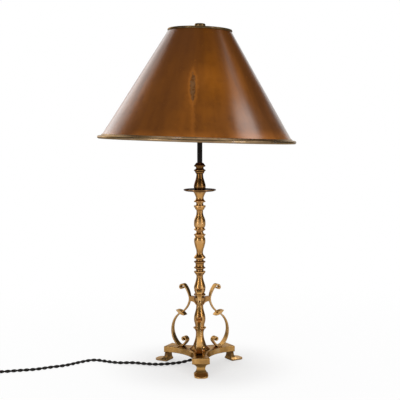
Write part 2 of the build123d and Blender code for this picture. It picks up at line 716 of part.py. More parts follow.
# Harp
def make_harp():
    foot = harp_foot_span / 2
    saddle_bottom = saddle_top - saddle_thickness
    post_top = saddle_top + saddle_post_height
    strip = SlotOverall(harp_foot_span + saddle_width, saddle_width) - Circle(stem_bore)
    saddle = Pos(0, 0, saddle_bottom) * extrude(strip, saddle_thickness)
    for side in (-1, 1):
        saddle += Pos(side * foot, 0) * rod(saddle_top, saddle_post_height, harp_wire_radius)
    save(saddle, "harp_saddle")
    ferrule_bore = harp_wire_radius + slip_gap / 2
    ferrule = tube(post_top - ferrule_height / 2, ferrule_height, ferrule_radius, ferrule_bore)
    save(Compound([Pos(side * foot, 0) * ferrule for side in (-1, 1)]), "harp_ferrules")
    top = crown_top - crown_height / 2
    rise = top - post_top
    belly = (harp_belly_span / 2, post_top + rise * harp_belly_share)
    shoulder = (harp_shoulder_span / 2, post_top + rise * harp_shoulder_share)
    straight = post_top + ferrule_height
    right = [shoulder, belly, (foot, straight), (foot, post_top)]
    left = [(-x, z) for x, z in reversed(right)]
    crest = [(-crown_radius * 2, top), (crown_radius * 2, top)]
    line = Plane.XZ * FilletPolyline(*left, *crest, *right, radius=harp_bend_radius)
    section = Plane(origin=line @ 0, z_dir=line % 0) * Circle(harp_wire_radius)
    bow = sweep(section, line)
    save(bow, "harp_bow")
    crown = lean * (Pos(0, 0, -crown_height) * extrude(Circle(crown_radius), crown_height))
    stud = lean * extrude(Circle(stud_radius), stud_height)
    save(crown + stud - bow, "harp_crown")


# Shade and finial
def about_axis(section):
    """Ring or shell about the shade's axis, set on the harp's stud, from its section of radius and height."""
    return lean * revolve(Plane.XZ * section, Axis.Z)


def make_shade():
    top = spider_drop + spider_hub_thickness / 2
    bottom = top - shade_height
    edge, brim = Vector(shade_bottom_radius, bottom), Vector(shade_top_radius, top)
    flare = edge + Vector(-shade_flare_run, shade_flare_rise)
    skin = make_face(offset(Polyline(edge, flare, brim), shade_wall, side=Side.LEFT, closed=True))
    inside = make_face(Polyline((0, bottom), edge, flare, brim, (0, top), close=True)) - skin
    save(about_axis(skin), "shade_cone")
    save(about_axis(Pos(brim) * Circle(top_bead_radius) - skin), "shade_top_rim")
    band = make_face(offset(Line(edge, flare), band_wall, side=Side.RIGHT, closed=True))
    band += Pos(flare) * Circle(band_bead_radius) - inside
    save(about_axis(band + Pos(edge) * Circle(bottom_bead_radius) - skin), "shade_bottom_rim")
    arm = Pos(shade_top_radius, 0, spider_hub_thickness / 2)
    arm = arm * Box(shade_top_radius * 2, spider_arm_width, spider_arm_thickness)
    hollow = revolve(Plane.XZ * inside, Axis.Z)
    spider = extrude(Circle(spider_hub_radius), spider_hub_thickness)
    for i in range(spider_arm_count):
        spider += Rot(0, 0, spider_turn_deg + i * 360 / spider_arm_count) * arm & hollow
    spider -= rod(-overrun, overrun * 2, stud_radius + turning_gap)
    save(lean * spider, "shade_spider")


def make_finial():
    body = turned(spider_hub_thickness, finial_height, finial_radius, finial_shares, 0)
    socket = rod(0, stud_height + turning_gap, stud_radius + turning_gap)
    save(lean * (body - socket), "finial")


# Flex, coil, tie and plug
def bend_radii(points):
    """A radius for each inner point of a route, as wide as its shorter neighbouring run allows."""
    radii = []
    for a, b, c in zip(points, points[1:], points[2:]):
        turn = math.radians((b - a).get_angle(c - b))
        shorter = min((b - a).length, (c - b).length)
        radii.append(bend_share * shorter / math.tan(turn / 2))
    return radii


def flex_along(path):
    """Round flex along a path, with its length."""
    section = Plane(origin=path @ 0, z_dir=path % 0) * Circle(cord_radius)
    solid = sweep(section, path)
    full = math.pi * cord_radius ** 2 * path.length
    print(f"flex length {path.length:.1f}, volume over section times length {solid.volume / full:.4f}")
    return solid


def flex_stretch(route):
    points = [Vector(*point) for point in route]
    radii = bend_radii(points)
    print("bend radii", [round(radius, 1) for radius in radii])
    return flex_along(FilletPolyline(*points, radius=radii))


def coil_arcs():
    """Half turns clockwise from above: inwards on the table, one climbing, outwards on top, a last quarter."""
    low = coil_lift + cord_radius
    high = low + coil_layer_rise
    step = coil_pitch / 2
    side, reach = -1, coil_outer_radius
    arcs = []

    def half_turn(next_reach, start_z, end_z, side, reach):
        start = Vector(coil_centre_x, coil_centre_y + side * reach, start_z)
        end = Vector(coil_centre_x, coil_centre_y - side * next_reach, end_z)
        middle = (start + end) * 0.5 + Vector(side * (end - start).length / 2, 0, 0)
        return ThreePointArc(start, middle, end)

    for _ in range(coil_halves_in):
        arcs.append(half_turn(reach - step, low, low, side, reach))
        side, reach = -side, reach - step
    arcs.append(half_turn(reach, low, high, side, reach))
    side = -side
    for _ in range(coil_halves_out):
        arcs.append(half_turn(reach + step, high, high, side, reach))
        side, reach = -side, reach + step
    quarter = reach + step / 2
    start = Vector(coil_centre_x, coil_centre_y + side * reach, high)
    hub = start - Vector(0, side * quarter, 0)
    last = hub + Vector(side * quarter, 0, 0)
    middle = hub + Vector(quarter, 0, 0).rotate(Axis.Z, -135)
    arcs.append(ThreePointArc(start, middle, last))
    return arcs


def least_gap(arcs, per_arc=24):
    """Least distance between the skins of turns that are not neighbours along the flex."""
    points = [arc @ (i / per_arc) for arc in arcs for i in range(per_arc)]
    apart = per_arc
    gap = min(
        (points[i] - points[j]).length
        for i in range(len(points))
        for j in range(i + apart, len(points))
    )
    return gap - cord_radius * 2


def make_flex():
    save(flex_stretch(cord_route), "cord_lead")
    arcs = coil_arcs()
    print(f"coil least gap {least_gap(arcs):.2f}")
    diameter = cord_radius * 2
    start, end = arcs[0] @ 0, arcs[-1] @ 1
    lead_in = Line(start + Vector(diameter, 0, 0), start)
    lead_out = Line(end, end + Vector(0, diameter, 0))
    coil = flex_along(Wire([lead_in.edge(), *[arc.edge() for arc in arcs], lead_out.edge()]))
    save(coil, "cord_coil")
    tail_start = end + Vector(0, diameter, 0)
    drop = tail_start.Z - plug_thickness / 2
    tail = [
        (tail_start.X + tail_length * x, tail_start.Y + tail_length * y, tail_start.Z - drop * z)
        for x, y, z in tail_shares
    ]
    save(flex_stretch(tail), "cord_tail")
    make_tie()
    make_plug(Vector(*tail[-1]))


def make_tie():
    """Flat band around the turns on the coil's right side."""
    outer = coil_outer_radius - coil_pitch * 3 / 4
    inner = outer - coil_pitch * (coil_halves_in / 2 - 1)
    bow = (tie_width / 2 + coil_pitch / 4) ** 2 / (inner * 2)
    left = coil_centre_x + inner - cord_radius - bow - tie_gap
    right = coil_centre_x + outer + cord_radius + tie_gap
    bottom = coil_lift - tie_gap
    top = coil_lift + cord_radius * 2 + coil_layer_rise + tie_gap
    width, height = right - left, top - bottom
    corner = cord_radius
    band = RectangleRounded(width + tie_thickness * 2, height + tie_thickness * 2, corner + tie_thickness)
    band -= RectangleRounded(width, height, corner)
    middle = Vector((left + right) / 2, coil_centre_y, (bottom + top) / 2)
    ring = Plane(origin=middle, x_dir=(1, 0, 0), z_dir=(0, 1, 0)) * band
    save(extrude(ring, tie_width / 2, both=True), "cord_tie")


def make_plug(start):
    """Moulded plug with two round pins and a tapered sleeve, lying flat along +Y."""
    place = Pos(start.X, start.Y, start.Z)
    lie = Rot(-90, 0, 0)
    standing = (Align.CENTER, Align.CENTER, Align.MIN)
    sleeve = lie * Cone(plug_sleeve_tip_radius, plug_sleeve_root_radius, plug_sleeve_length, align=standing)
    save(place * sleeve, "plug_sleeve")
    rear, front = plug_sleeve_length, plug_sleeve_length + plug_length
    waist, wide = plug_waist_width / 2, plug_width / 2
    shoulder = rear + plug_length / 2
    right = [(waist, rear), (wide, shoulder), (wide, front)]
    left = [(-x, y) for x, y in reversed(right)]
    plan = make_face(Polyline(*right, *left, close=True))
    plan = fillet(plan.vertices(), plug_corner)
    body = extrude(plan, plug_thickness / 2, both=True)
    body = fillet(body.edges().filter_by(GeomType.LINE, reverse=True).group_by(Axis.Z)[-1], plug_edge)
    save(place * body, "plug_body")
    pin = extrude(Circle(pin_radius), pin_length)
    pin = chamfer(pin.faces().sort_by(Axis.Z)[-1].edges(), pin_tip)
    pins = [Pos(side * pin_span / 2, front, 0) * lie * pin for side in (-1, 1)]
    save(place * Compound(pins), "plug_pins")


os.makedirs("parts", exist_ok=True)
make_column(*make_base())
make_stem()
make_lampholder()
make_bulb()
make_harp()
make_shade()
make_finial()
make_flex()
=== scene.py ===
import math

import bpy
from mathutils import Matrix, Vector


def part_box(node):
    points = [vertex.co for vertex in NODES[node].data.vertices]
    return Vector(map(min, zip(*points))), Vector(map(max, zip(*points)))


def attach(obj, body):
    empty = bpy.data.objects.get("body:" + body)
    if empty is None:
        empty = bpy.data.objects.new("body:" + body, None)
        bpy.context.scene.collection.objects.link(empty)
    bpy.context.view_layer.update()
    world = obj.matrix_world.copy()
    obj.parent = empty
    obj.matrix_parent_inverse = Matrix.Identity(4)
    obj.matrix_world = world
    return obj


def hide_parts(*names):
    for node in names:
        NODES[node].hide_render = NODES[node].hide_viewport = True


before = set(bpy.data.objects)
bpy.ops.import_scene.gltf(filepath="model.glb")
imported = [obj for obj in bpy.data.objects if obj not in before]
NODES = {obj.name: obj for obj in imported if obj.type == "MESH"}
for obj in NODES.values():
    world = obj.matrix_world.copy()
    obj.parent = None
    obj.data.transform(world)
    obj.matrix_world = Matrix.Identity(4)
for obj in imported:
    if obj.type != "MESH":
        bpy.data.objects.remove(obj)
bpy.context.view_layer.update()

bl_info = {
    "name": "Turned Brass Table Lamp",
    "version": (1, 0, 0),
    "blender": (4, 5, 0),
    "location": "View3D > Sidebar > Table Lamp",
    "description": "Finishes, flex and studio for a turned brass table lamp with a copper shade",
    "category": "Object",
}

# Sizes and places are in metres unless a comment gives another unit
MM = 0.001
WHITE = (1.0, 1.0, 1.0, 1.0)

# Pieces of the lamp that share a finish
POLISHED_NODES = ("column_foot", "lower_vase", "middle_vase", "inverted_vase", "upper_vase", "pan_trumpet")
DULL_NODES = ("bracket_hub", "ring_spool")
# The pan and the pieces above it: painted shade from the lampshade over them, with dull tarnish
UPPER_SHADED_NODES = ("drip_pan", "candle_vase", "top_collar")
# The front foot and bracket: a lighter, less tarnished copy of the cast brass, painted as more lit
FRONT_LIT_NODES = ("foot_front", "bracket_front")
# The side feet, whose necks under the plate are painted in shade
SIDE_FEET = ("foot_right", "foot_left")
CAST_NODES = (
    "base_plate", "bracket_right", "bracket_left", "bracket_rivets",
    "lampholder_cap", "lampholder_shell", "harp_bow", "harp_crown", "harp_saddle", "harp_ferrules",
)
BLACKENED_NODES = ("shade_top_rim", "finial", "shade_spider")

# The flex's route in millimetres, from the bush under the plate to the coil
FLEX_ROUTE = (
    (0.0, 0.0, 18.9), (0.0, 0.0, 15.24), (-1.72, 0.2, 12.0), (-4.7, 0.9, 9.95), (-9.2, 2.2, 9.4),
    (-17.4, 4.4, 8.2), (-28.0, 4.2, 5.2), (-40.0, 1.0, 3.35), (-56.0, -4.6, 3.2), (-78.0, -10.8, 3.2),
    (-104.0, -6.8, 3.2), (-131.0, 3.2, 3.2), (-157.0, -0.4, 3.2), (-183.0, 11.0, 3.2), (-209.0, 25.0, 3.2),
    (-234.0, 7.0, 3.2), (-259.0, -18.5, 3.2), (-287.0, -30.0, 3.2), (-312.0, -45.5, 3.2),
    (-341.0, -52.0, 3.2), (-372.0, -61.5, 3.2), (-392.0, -64.8, 3.6), (-409.0, -66.2, 4.1),
    (-424.0, -65.6, 4.3), (-434.5, -65.0, 4.35), (-443.7, -65.0, 4.35),
)
SPLINE_STEPS = 8
SPLINE_ORDER = 3

# The coil: its middle, the height of its lower layer, and the half turns that go in and come out again
COIL_X = -0.45
COIL_Y = -0.02
COIL_LAYER = 0.00435
POINTS_PER_HALF_TURN = 8
INWARD_HALF_TURNS = 6
OUTWARD_HALF_TURNS = 5

# The tail from the coil to the plug's sleeve, with its points as shares of its length, sideways and
# along, and of its drop
TAIL_LENGTH = 0.04
PLUG_HEIGHT = 0.0075
TAIL_SHARES = ((0.0, 0.0, 0.0), (0.0, 0.2, 0.0), (0.03, 0.5, 0.45), (0.0, 0.8, 1.0), (0.0, 1.0, 1.0))

# Places of the tarnish, wear and painted shade on the brass: radii on the column, the reach of the shade
# painted into corners, the roundness of a soft edge, and the heights between which a side foot's pad
# becomes its neck, which is painted in shade
HOLLOW_RADIUS = 0.0062
SHOULDER_RADIUS = 0.0098
RING_RADIUS = 0.0112
TARNISH_DRIFT = 0.0022
TURNED_SHADE_REACH = 0.007
CAST_SHADE_REACH = 0.006
SOFT_EDGE = 0.0011
PAD_TOP = 0.005
NECK_FOOT = 0.01
RAY_COUNT = 6

# Heights and places on the shade of its darkening towards the top, its wear and its lacquer
DARKER_TOP_HEIGHTS = (0.53, 0.64)
RIM_WEAR_HEIGHTS = (0.464, 0.444)
THIN_LACQUER_HEIGHTS = (0.46, 0.55)
FRONT_DEPTHS = (-0.02, -0.04)
BLOOM_OFFSET = (0.018, 0.004)
BLOOM_DEPTH = -0.1
BLOOM_REACH = (0.046, 0.006)
DRIP_HALF_WIDTHS = (0.006, 0.001)
DRIP_WAVER = 0.002
DRIP_DROPS = (-0.02, -0.035)

# Stretches round the shade, from -1 at its left side to 1 at its right side: where shading is painted at the
# left and right and where the lacquer is thin; and the climb of its streaks
LEFT_SHADING_STARTS = (-0.85, -0.55)
LEFT_SHADING_ENDS = (0.0, -0.4)
RIGHT_SHADING_STARTS = (0.55, 0.8)
THIN_LACQUER_STARTS = (-0.3, 0.3)
THIN_LACQUER_ENDS = (0.97, 0.9)
STREAK_CLIMB = 1.6

# Depths of the fine relief in the finishes, and how much finer than the clouds a plain finish's grain is
GRAIN_DEPTH = 0.0004
FINE_DEPTH = 0.0003
THREAD_DEPTH = 0.0002
GRAIN_FINENESS = 9

# Turning lines in a metre of radius and of height
LINES_OF_RADIUS = 900.0
LINES_OF_HEIGHT = 2600.0

# Spacing of the woven band's threads, and the braid's threads in a metre of a core and around it
BAND_WARP = 0.0009
BAND_WEFT = 0.0007
BRAID_PER_METRE = 900.0
BRAID_AROUND = 8.0

# Colours of the small pieces that two steps share
RUBBER = ((0.014, 0.014, 0.014), (0.02, 0.02, 0.02))
BRIGHT_BRASS = ((0.62, 0.43, 0.16), (0.5, 0.33, 0.11))

# Camera, with its sensor in millimetres, floor and aim of the lights
SENSOR_WIDTH = 36.0
CAMERA_REACH = 50.0
FLOOR_HALF = 12.0
FLOOR_DROP = 0.0004
LIGHT_AIM = (0.0, 0.0, 0.4)

# Distances on the floor from the lamp's axis: the contact shadow, the paling floor and the shadow painted
# under the plate that the metal mirrors; then the depths where floor painted as lit gives way to floor
# painted dim
CONTACT_SHADOW = (0.08, 0.22)
PALING_FLOOR = (0.3, 1.0)
UNDER_PLATE_SHADOW = (0.04, 0.11)
UNDER_PLATE_SHADOW_LEVEL = 0.05
FRONT_TO_BACK = (-0.15, 0.05)

# Directions in which the metal mirrors the white backdrop: backwards, level and leftwards; and the
# paler room in front: low and forwards
BACKDROP_BACK = (0.25, 0.85)
BACKDROP_RISE = (0.6, 0.25)
BACKDROP_RIGHT = (0.6, 0.35)
FRONT_RISE = (0.65, 0.4)
FRONT_BACK = (-0.1, -0.5)

# Area lights: place, width and height, power, and whether a light falls on everything or shows in the
# gloss alone
LIGHTS = {
    "left_front": ((-1.5, -1.5, 0.95), (0.4, 1.8), 10.0, True),
    "right_front": ((1.45, -1.35, 0.9), (0.35, 1.7), 8.0, True),
    "left_back": ((-1.25, 1.4, 1.25), (1.2, 1.6), 7.0, True),
    "right_top": ((1.5, -0.18, 1.8), (0.75, 0.65), 5.5, False),
    "over": ((0.0, 0.7, 2.6), (1.8, 1.8), 12.0, True),
}


class StageSettings(bpy.types.PropertyGroup):
    """Camera, floor and light."""

    camera_distance: bpy.props.FloatProperty(
        name="Camera distance", description="From the column's axis, level", default=1.70328, unit="LENGTH")
    camera_height: bpy.props.FloatProperty(
        name="Camera height", description="Above the table", default=0.47419, unit="LENGTH")
    camera_pitch: bpy.props.FloatProperty(
        name="Camera pitch", description="Downward tilt", default=math.radians(5.033), subtype="ANGLE")
    camera_lens: bpy.props.FloatProperty(
        name="Lens", description="Focal length of the camera", default=79.69, unit="CAMERA")
    camera_shift: bpy.props.FloatProperty(
        name="Shift", description="Sideways shift of the picture", default=0.000625)
    floor_colour: bpy.props.FloatVectorProperty(
        name="Floor", description="Colour of the floor", default=(0.94, 0.94, 0.94), subtype="COLOR", size=3)
    floor_glow: bpy.props.FloatProperty(
        name="Floor glow", description="Share of even white in the floor under the lamp",
        default=0.58, subtype="FACTOR")
    floor_far: bpy.props.FloatProperty(
        name="Floor around", description="Share of even white in the floor round the lamp",
        default=0.93, subtype="FACTOR")
    # Painted light and shade on the floor as the metal mirrors it: brighter in front, dimmer behind
    floor_front: bpy.props.FloatProperty(
        name="Floor in front", description="Brightness of the floor before the lamp, as the metal mirrors it",
        default=1.0)
    floor_back: bpy.props.FloatProperty(
        name="Floor behind", description="Brightness of the floor behind the lamp, as the metal mirrors it",
        default=0.52)
    room_light: bpy.props.FloatProperty(
        name="Room light", description="Strength of the even light from all round", default=0.56)
    front_room: bpy.props.FloatProperty(
        name="Front room", description="Brightness that the metal mirrors from in front", default=0.4)
    side_room: bpy.props.FloatProperty(
        name="Side room", description="Brightness that the metal mirrors from the sides and above",
        default=0.05)
    light_level: bpy.props.FloatProperty(
        name="Light level", description="Scales the power of all the lights", default=1.0)


class BrassSettings(bpy.types.PropertyGroup):
    """Colours of the old brass."""

    body: bpy.props.FloatVectorProperty(
        name="Body", description="Main colour", default=(0.55, 0.272, 0.066), subtype="COLOR", size=3)
    # Used for tarnish and also for painted shade in corners, on the side feet's necks and under the lampshade
    dark: bpy.props.FloatVectorProperty(
        name="Tarnish", description="Colour in hollows", default=(0.15, 0.064, 0.014),
        subtype="COLOR", size=3)
    worn: bpy.props.FloatVectorProperty(
        name="Worn edges", description="Colour of rubbed edges", default=(0.74, 0.53, 0.3),
        subtype="COLOR", size=3)
    # Share of painted shade under the lampshade, with dull tarnish, from the pan upwards
    shade_and_tarnish: bpy.props.FloatProperty(
        name="Soot", description="Share of tarnish from the pan upwards", default=0.8, subtype="FACTOR")
    edge: bpy.props.FloatVectorProperty(
        name="Edge tint", description="Colour at grazing angles", default=(0.62, 0.48, 0.3),
        subtype="COLOR", size=3)


class ShadeSettings(bpy.types.PropertyGroup):
    """Colours of the copper sheet, and the place and size of its stain."""

    sheet: bpy.props.FloatVectorProperty(
        name="Sheet", description="Main colour", default=(0.35, 0.105, 0.003), subtype="COLOR", size=3)
    # Dark brown of the sheet, also used for the shading painted at its sides
    dark: bpy.props.FloatVectorProperty(
        name="Patina", description="Dark brown colour", default=(0.15, 0.042, 0.001), subtype="COLOR", size=3)
    warm: bpy.props.FloatVectorProperty(
        name="Worn copper", description="Orange colour where the patina is thin", default=(0.62, 0.2, 0.02),
        subtype="COLOR", size=3)
    stain_dark: bpy.props.FloatVectorProperty(
        name="Stain", description="Dark colour in the stain", default=(0.05, 0.028, 0.01),
        subtype="COLOR", size=3)
    stain_pale: bpy.props.FloatVectorProperty(
        name="Stain specks", description="Pale colour in the stain", default=(0.17, 0.12, 0.06),
        subtype="COLOR", size=3)
    stain_x: bpy.props.FloatProperty(
        name="Stain place", description="Of the lens-shaped stain, to the right of the front",
        default=-0.012, unit="LENGTH")
    stain_z: bpy.props.FloatProperty(
        name="Stain height", description="Of the stain's middle, above the table",
        default=0.536, unit="LENGTH")
    stain_half_width: bpy.props.FloatProperty(
        name="Stain half width", description="From the stain's middle to its side",
        default=0.0058, unit="LENGTH")
    stain_half_length: bpy.props.FloatProperty(
        name="Stain half length", description="From the stain's middle to its tip",
        default=0.029, unit="LENGTH")


class FlexSettings(bpy.types.PropertyGroup):
    """Twisted two-core flex."""

    diameter: bpy.props.FloatProperty(
        name="Diameter", description="Across both cores", default=0.0063, unit="LENGTH")
    twist: bpy.props.FloatProperty(
        name="Twist", description="Length of one full twist", default=0.0235, unit="LENGTH")
    step: bpy.props.FloatProperty(
        name="Step", description="Spacing of the cross sections", default=0.0016, unit="LENGTH")
    sides: bpy.props.IntProperty(name="Sides", description="Sides of one core", default=10)
    coil_radius: bpy.props.FloatProperty(
        name="Coil radius", description="Radius of the outer turn", default=0.045, unit="LENGTH")
    coil_pitch: bpy.props.FloatProperty(
        name="Coil pitch", description="From turn to turn", default=0.0079, unit="LENGTH")
    colour: bpy.props.FloatVectorProperty(
        name="Cotton", description="Colour of the braid", default=(0.018, 0.015, 0.013),
        subtype="COLOR", size=3)


def put(tree, socket, value):
    """Links a socket to an input, or sets the input's value."""
    if isinstance(value, bpy.types.NodeSocket):
        tree.links.new(value, socket)
    else:
        socket.default_value = value


def add(tree, kind, inputs=None, **settings):
    """Adds a node, sets its properties, and sets or links its inputs."""
    node = tree.nodes.new(kind)
    for key, value in settings.items():
        setattr(node, key, value)
    for key, value in (inputs or {}).items():
        put(tree, node.inputs[key], value)
    return node


def math_node(tree, operation, *values, clamp=False):
    """One Math node; returns its output."""
    node = add(tree, "ShaderNodeMath", dict(enumerate(values)), operation=operation, use_clamp=clamp)
    return node.outputs[0]


def times(tree, first, second):
    """The product of two values."""
    return math_node(tree, "MULTIPLY", first, second)


def split_place(tree, vector):
    """The three parts of a vector."""
    return add(tree, "ShaderNodeSeparateXYZ", {0: vector}).outputs


def spread(tree, value, low, high, new_low=0.0, new_high=1.0):
    """A value mapped smoothly from one range to another."""
    inputs = {"Value": value, "From Min": low, "From Max": high, "To Min": new_low, "To Max": new_high}
    return add(tree, "ShaderNodeMapRange", inputs, interpolation_type="SMOOTHSTEP").outputs["Result"]


def blend_colours(tree, factor, first, second):
    """Mixes two colours, given as values or sockets."""
    node = add(tree, "ShaderNodeMix", {0: factor}, data_type="RGBA")
    for key, colour in ((6, first), (7, second)):
        is_socket = isinstance(colour, bpy.types.NodeSocket)
        put(tree, node.inputs[key], colour if is_socket else (*colour[:3], 1.0))
    return node.outputs[2]


def noise(tree, vector, scale, detail=3.0, roughness=0.5, distortion=0.0):
    """Cloudy noise from 0 to 1."""
    inputs = {
        "Vector": vector, "Scale": scale, "Detail": detail, "Roughness": roughness, "Distortion": distortion}
    return add(tree, "ShaderNodeTexNoise", inputs).outputs["Fac"]


def openness(tree, reach):
    """How open a point is within a reach, from 0 in a tight corner to 1."""
    return add(tree, "ShaderNodeAmbientOcclusion", {"Distance": reach}, samples=RAY_COUNT).outputs["AO"]


def relief(tree, height, strength, depth, **more):
    """Normals of a fine relief."""
    inputs = {"Height": height, "Strength": strength, "Distance": depth, **more}
    return add(tree, "ShaderNodeBump", inputs).outputs[0]


def scaled(colour, share):
    """A colour made darker or lighter."""
    return [c * share for c in colour]


def toned(colour, tone):
    """A colour with each of its parts scaled by a tone."""
    return [c * t for c, t in zip(colour, tone)]


def new_material(name):
    """An empty node material, its tree, its Principled shader and its Object coordinates."""
    material = bpy.data.materials.new(name)
    material.use_nodes = True
    tree = material.node_tree
    tree.nodes.clear()
    shader = add(tree, "ShaderNodeBsdfPrincipled")
    add(tree, "ShaderNodeOutputMaterial", {"Surface": shader.outputs[0]})
    place = add(tree, "ShaderNodeTexCoord").outputs["Object"]
    return material, tree, shader, place


def connect(tree, shader, **sockets):
    """Links sockets to, or sets constants on, the shader's inputs; underscores stand for spaces."""
    for key, value in sockets.items():
        put(tree, shader.inputs[key.replace("_", " ")], value)


def paint(obj, material):
    """Gives an object one material."""
    if not obj.material_slots:
        obj.data.materials.append(material)
    for slot in obj.material_slots:
        slot.material = material


def paint_nodes(nodes, material):
    """Gives several pieces of the lamp one material."""
    for node in nodes:
        paint(NODES[node], material)


def turned_brass(name, shade_and_tarnish, lacquer):
    """Old brass off the lathe: tarnished in the hollows, with painted shade in its corners and, by a share,
    painted shade and dull tarnish all over; rubbed bright on the rings, with fine turning lines.
    """
    settings = bpy.context.scene.lamp_brass
    material, tree, shader, place = new_material(name)
    x, y, z = split_place(tree, place)
    radius = math_node(tree, "SQRT", math_node(tree, "ADD", times(tree, x, x), times(tree, y, y)))
    cloud = noise(tree, place, scale=55.0, detail=4.0, roughness=0.6)
    speck = noise(tree, place, scale=420.0, detail=2.0, roughness=0.6)
    uneven_radius = math_node(tree, "ADD", radius, times(tree, cloud, TARNISH_DRIFT))
    bare = spread(tree, uneven_radius, HOLLOW_RADIUS, SHOULDER_RADIUS)
    base = blend_colours(tree, spread(tree, bare, 0.0, 1.0, new_low=0.45), settings.dark, settings.body)
    base = blend_colours(tree, spread(tree, cloud, 0.5, 0.8, new_high=0.4), base, settings.dark)
    rings = times(tree, spread(tree, radius, SHOULDER_RADIUS, RING_RADIUS), spread(tree, speck, 0.36, 0.62))
    base = blend_colours(tree, times(tree, rings, 0.25), base, settings.worn)
    # Painted shade under the lampshade and dull tarnish, by this share
    base = blend_colours(tree, shade_and_tarnish, base, settings.dark)
    # Painted shade in the corners, where other surfaces come close
    clear = spread(tree, openness(tree, TURNED_SHADE_REACH), 0.2, 0.8)
    base = blend_colours(tree, clear, scaled(settings.dark, 0.35), base)
    lathe_place = {0: times(tree, radius, LINES_OF_RADIUS), 2: times(tree, z, LINES_OF_HEIGHT)}
    lines = noise(tree, add(tree, "ShaderNodeCombineXYZ", lathe_place).outputs[0], scale=1.0, detail=2.0)
    connect(tree, shader, Base_Color=base, Metallic=0.95,
            Specular_Tint=(*scaled(settings.edge, 1.0 - shade_and_tarnish), 1.0),
            Roughness=spread(tree, cloud, 0.3, 0.75, 0.2, 0.34), Coat_Weight=lacquer, Coat_Roughness=0.12,
            Normal=relief(tree, lines, strength=0.06, depth=GRAIN_DEPTH))
    return material


def cast_brass(name="cast_brass", tone=(1.0, 1.09, 1.25), rub=0.6, tarnish=0.4, neck=0.0):
    """Old cast brass: cloudy tarnish, painted shade in corners and on a foot's neck, with soft edges rubbed
    bright.
    """
    settings = bpy.context.scene.lamp_brass
    material, tree, shader, place = new_material(name)
    body = toned(settings.body, tone)
    dark = toned(settings.dark, tone)
    worn = toned(settings.worn, tone)
    cloud = noise(tree, place, scale=38.0, detail=5.0, roughness=0.62, distortion=0.4)
    grain = noise(tree, place, scale=700.0, detail=3.0, roughness=0.7)
    base = blend_colours(tree, spread(tree, cloud, 0.4, 0.68, new_high=tarnish), body, dark)
    patches = times(tree, spread(tree, cloud, 0.48, 0.3), spread(tree, grain, 0.35, 0.65))
    base = blend_colours(tree, times(tree, patches, rub), base, worn)
    soft_edge = add(tree, "ShaderNodeBevel", {"Radius": SOFT_EDGE}, samples=RAY_COUNT).outputs[0]
    flat = add(tree, "ShaderNodeNewGeometry").outputs["Normal"]
    turn = add(tree, "ShaderNodeVectorMath", {0: soft_edge, 1: flat}, operation="DOT_PRODUCT")
    edges = spread(tree, turn.outputs["Value"], 0.99, 0.86)
    base = blend_colours(tree, times(tree, edges, rub), base, worn)
    # Painted shade on a side foot's neck, under the plate
    if neck > 0.0:
        height = split_place(tree, place)[2]
        base = blend_colours(tree, spread(tree, height, PAD_TOP, NECK_FOOT, new_high=neck), base, dark)
    # Painted shade in the corners, where other surfaces come close
    clear = spread(tree, openness(tree, CAST_SHADE_REACH), 0.1, 0.65, new_low=0.25)
    base = blend_colours(tree, clear, scaled(dark, 0.4), base)
    connect(tree, shader, Base_Color=base, Metallic=0.95, Specular_Tint=(*settings.edge, 1.0),
            Roughness=spread(tree, cloud, 0.25, 0.75, 0.22, 0.4), Coat_Weight=0.3, Coat_Roughness=0.15,
            Normal=relief(tree, grain, strength=0.1, depth=GRAIN_DEPTH, Normal=soft_edge))
    return material


def lens_stain(tree, place, settings):
    """Masks of the lens-shaped stain on the shade's front: its inside, its bright border and its drip."""
    x, y, z = split_place(tree, place)
    front = spread(tree, y, *FRONT_DEPTHS)
    ragged = noise(tree, place, scale=150.0, detail=4.0, roughness=0.65)
    offset = math_node(tree, "SUBTRACT", x, settings.stain_x)
    drop = math_node(tree, "SUBTRACT", z, settings.stain_z)
    sideways = math_node(tree, "ABSOLUTE", offset)
    across = math_node(tree, "DIVIDE", sideways, settings.stain_half_width)
    along = math_node(tree, "DIVIDE", drop, settings.stain_half_length)
    lens = math_node(tree, "ADD", across, times(tree, along, along))
    reach = math_node(tree, "ADD", lens, spread(tree, ragged, 0.3, 0.7, -0.3, 0.3))
    inside = times(tree, spread(tree, reach, 1.1, 0.6), front)
    outside = math_node(tree, "SUBTRACT", front, inside, clamp=True)
    border = times(tree, spread(tree, reach, 2.2, 1.0), outside)
    waver = spread(tree, ragged, 0.3, 0.7, -DRIP_WAVER, DRIP_WAVER)
    line = spread(tree, math_node(tree, "ADD", sideways, waver), *DRIP_HALF_WIDTHS)
    drip = times(tree, line, times(tree, front, spread(tree, drop, *DRIP_DROPS)))
    return inside, border, drip


def orange_bloom(tree, place, mottle, settings):
    """Mask of the warm bloom beside the stain."""
    middle = (settings.stain_x + BLOOM_OFFSET[0], BLOOM_DEPTH, settings.stain_z + BLOOM_OFFSET[1])
    far = add(tree, "ShaderNodeVectorMath", {0: place, 1: middle}, operation="DISTANCE").outputs["Value"]
    return times(tree, spread(tree, far, *BLOOM_REACH), spread(tree, mottle, 0.3, 0.6, new_low=0.4))


